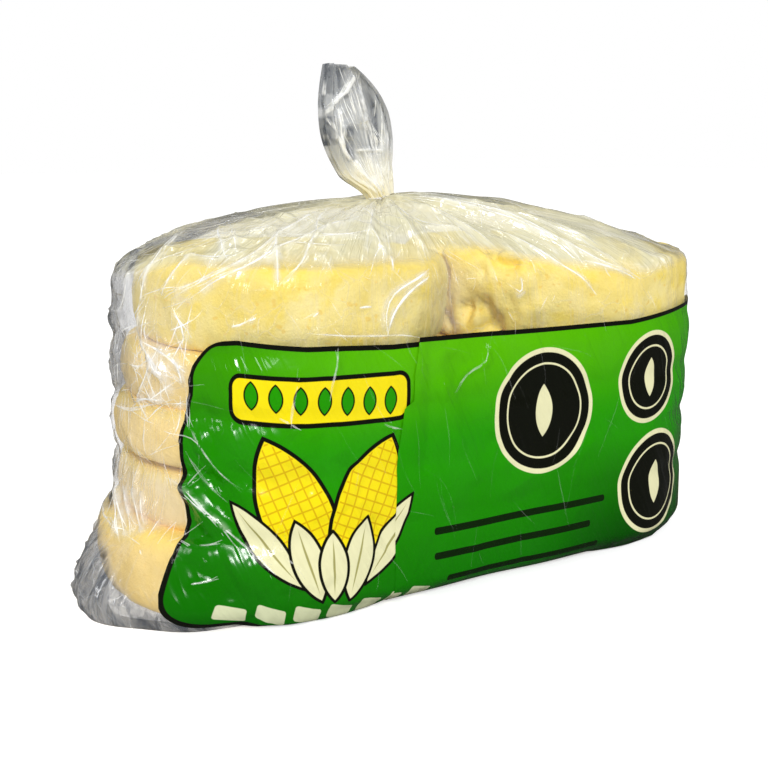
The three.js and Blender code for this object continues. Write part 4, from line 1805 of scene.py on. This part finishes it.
class AREPABAG_OT_ridges(bpy.types.Operator):
    """Makes the bright lines where the film is pinched together, white as whitened film with painted
    highlights
    """

    bl_idname = "arepabag.ridges"
    bl_label = "Film Creases"

    def execute(self, context):
        laid = laid_down(ridge_list(), skin_of(("film_body", "printed_panel")), straight=False)
        laid += laid_down(tail_ridges(), skin_of(("film_tail",)), straight=True)
        points = []
        edges = []
        ups = []
        widths = []
        shines = []
        for places, up, half_width, shine in laid:
            start = len(points)
            points.extend(tuple(place) for place in keep_in_box(places))
            edges.extend((start + step, start + step + 1) for step in range(len(places) - 1))
            ups.extend(up)
            share = np.linspace(0.04, 0.96, len(places))
            widths.extend(half_width * np.sin(math.pi * share) ** 0.7)
            height = places[:, 2] / MM
            middle = places[:, 0] / MM - SHIFT_X
            # Painted highlights over the print are fainter
            over_print = (height < 83.0) & (middle > -100.0) & (places[:, 1] < 0.0)
            shines.extend(shine * np.where(over_print, 0.65, 1.0))
        mesh = bpy.data.meshes.new("film_ridges")
        mesh.from_pydata(points, edges, [])
        put_values(mesh, up=ups, half_width=widths, shine=shines)
        values = {"Rise": 0.7, "Width": 1.0, "Finish": ridge_material("clear_film_ridges")}
        piece = bake_tree("film_ridges", build_ridge_tree(), values, mesh)
        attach(piece, "root")
        return {"FINISHED"}


# The stage

# The photo's view: the camera's place on the loft in millimetres, its turn and downward tilt in
# degrees, and its focal length and picture width in pixels
PHOTO_PLACE = (-203.3, -319.9, 138.1)
PHOTO_TURN = 30.6
PHOTO_TILT = 12.2
PHOTO_FOCAL = 1084.0
PHOTO_WIDTH = 768.0
SENSOR_WIDTH = 36.0

# Metres: half the floor's width, and the place that most lights are turned to
FLOOR_HALF = 6.0
BAG_MIDDLE = (0.0, 0.0, 0.06)

# Small light boxes: their place, width and height in metres
LIGHT_BOXES = (
    ("front_box", (-0.62, -0.72, 0.55), 0.10, 0.4),
    ("top_box", (-0.05, 0.10, 0.95), 0.4, 0.08),
    ("side_box", (0.75, -0.60, 0.50), 0.08, 0.4),
    ("end_box", (-0.95, -0.05, 0.40), 0.08, 0.4),
)


def put_in_scene(name, data):
    holder = bpy.data.objects.new(name, data)
    bpy.context.scene.collection.objects.link(holder)
    return holder


def aim(holder, place, target):
    """Puts a lamp at a place and turns it towards its target"""
    holder.location = place
    away = np.array(place) - np.array(target)
    flat = math.hypot(away[0], away[1])
    holder.rotation_euler = (math.atan2(flat, away[2]), 0.0, math.atan2(away[0], -away[1]))


def area_light(name, place, target, width, height, power):
    lamp = bpy.data.lights.new(name, "AREA")
    lamp.shape = "RECTANGLE"
    lamp.size = width
    lamp.size_y = height
    lamp.energy = power
    holder = put_in_scene(name, lamp)
    aim(holder, place, target)
    return holder


def floor_material(settings):
    """Pale and even, a little brighter where the camera sees it, and dim in what the film mirrors"""
    material, tree, shader = new_material("floor")
    seen = light_path(tree, "Camera")
    uneven = cloud_mask(object_place(tree), 0.3, 2.0, 0.3, 0.7, 2.0)
    shade = opaque(tuple(part * 0.985 for part in settings.floor))
    pale = blend(uneven, opaque(settings.floor), shade)
    pale = blend(seen, (settings.bounce, settings.bounce, settings.bounce, 1.0), pale)
    looks = {
        "Base Color": blend(light_path(tree, "Glossy"), pale, (0.08, 0.08, 0.08, 1.0)),
        "Roughness": 1.0,
        "Specular IOR Level": 0.0,
        "Emission Strength": seen * settings.floor_glow,
        "Emission Color": (1.0, 1.0, 1.0, 1.0),
    }
    set_inputs(shader, looks)
    return material


def room_light(scene, settings):
    """A pale room that shiny surfaces mirror only dimly"""
    world = bpy.data.worlds.new("room")
    scene.world = world
    world.use_nodes = True
    tree = world.node_tree
    dim = mix_numbers(light_path(tree, "Glossy"), settings.room, settings.mirrored)
    strength = mix_numbers(light_path(tree, "Camera"), dim, 1.0)
    set_inputs(tree.nodes["Background"], {"Strength": strength, "Color": (1.0, 1.0, 1.0, 1.0)})


class AREPABAG_OT_stage(bpy.types.Operator):
    """Makes the floor, the soft lights, the room and the camera"""

    bl_idname = "arepabag.stage"
    bl_label = "Stage"

    def execute(self, context):
        scene = context.scene
        settings = scene.arepabag_stage
        half = FLOOR_HALF
        corners = [(-half, -half, 0.0), (half, -half, 0.0), (half, half, 0.0), (-half, half, 0.0)]
        floor = make_object("floor", corners, [(0, 1, 2, 3)], floor_material(settings))

        room_light(scene, settings)
        sun = bpy.data.lights.new("key_sun", "SUN")
        sun.energy = settings.key
        sun.angle = math.radians(16.0)
        aim(put_in_scene("key_sun", sun), (-0.38, -0.84, 0.62), (0.0, 0.0, 0.0))
        for name, place, width, height in LIGHT_BOXES:
            area_light(name, place, BAG_MIDDLE, width, height, settings.boxes)
        wall = area_light("backdrop", (0.75, 1.25, 0.35), BAG_MIDDLE, 2.6, 1.1, settings.backdrop)
        ceiling = area_light("ceiling", (0.0, 0.3, 1.3), (0.0, 0.3, 0.0), 1.6, 1.6, settings.ceiling)
        for mirrored in (wall, ceiling):
            mirrored.visible_camera = False
            mirrored.visible_diffuse = False
        back = area_light("back_light", (0.1, 1.5, 0.16), BAG_MIDDLE, 1.8, 0.25, settings.back_light)
        back.visible_camera = False
        back.visible_glossy = False

        lens = bpy.data.cameras.new("photo_camera")
        lens.sensor_width = SENSOR_WIDTH
        lens.lens = PHOTO_FOCAL / PHOTO_WIDTH * SENSOR_WIDTH
        camera = put_in_scene("photo_camera", lens)
        camera.location = into_frame(PHOTO_PLACE)
        camera.rotation_euler = (math.radians(90.0 - PHOTO_TILT), 0.0, math.radians(-PHOTO_TURN))
        scene.camera = camera
        scene.view_settings.view_transform = "Standard"
        scene.cycles.transparent_max_bounces = 24
        return {"FINISHED"}


class VIEW3D_PT_arepabag(bpy.types.Panel):
    """Lists the steps that build the bag"""

    bl_idname = "VIEW3D_PT_arepabag"
    bl_label = "Bag of Arepas"
    bl_space_type = "VIEW_3D"
    bl_region_type = "UI"
    bl_category = "Arepa Bag"

    def draw(self, context):
        layout = self.layout
        for owner, step in STEPS:
            box = layout.box()
            if owner:
                settings = getattr(context.scene, owner)
                for name in settings.__annotations__:
                    box.prop(settings, name)
            box.operator("arepabag." + step)


# Each step's settings and operator, in the order in which they run
STEPS = (
    ("arepabag_arepas", "arepas"),
    ("arepabag_film", "film"),
    ("", "tail"),
    ("arepabag_print", "panel"),
    ("", "ridges"),
    ("arepabag_stage", "stage"),
)

SETTINGS = (
    ("arepabag_arepas", ArepaSettings),
    ("arepabag_film", FilmSettings),
    ("arepabag_print", PrintSettings),
    ("arepabag_stage", StageSettings),
)

CLASSES = (
    ArepaSettings,
    FilmSettings,
    PrintSettings,
    StageSettings,
    AREPABAG_OT_arepas,
    AREPABAG_OT_film,
    AREPABAG_OT_tail,
    AREPABAG_OT_panel,
    AREPABAG_OT_ridges,
    AREPABAG_OT_stage,
    VIEW3D_PT_arepabag,
)


def register():
    for made in CLASSES:
        bpy.utils.register_class(made)
    for name, kind in SETTINGS:
        setattr(bpy.types.Scene, name, bpy.props.PointerProperty(type=kind))


def unregister():
    for name, _ in SETTINGS:
        delattr(bpy.types.Scene, name)
    for made in reversed(CLASSES):
        bpy.utils.unregister_class(made)


def main():
    register()
    for _, step in STEPS:
        outcome = getattr(bpy.ops.arepabag, step)()
        if outcome != {"FINISHED"}:
            raise RuntimeError("the step " + step + " did not finish")


if __name__ == "__main__":
    main()
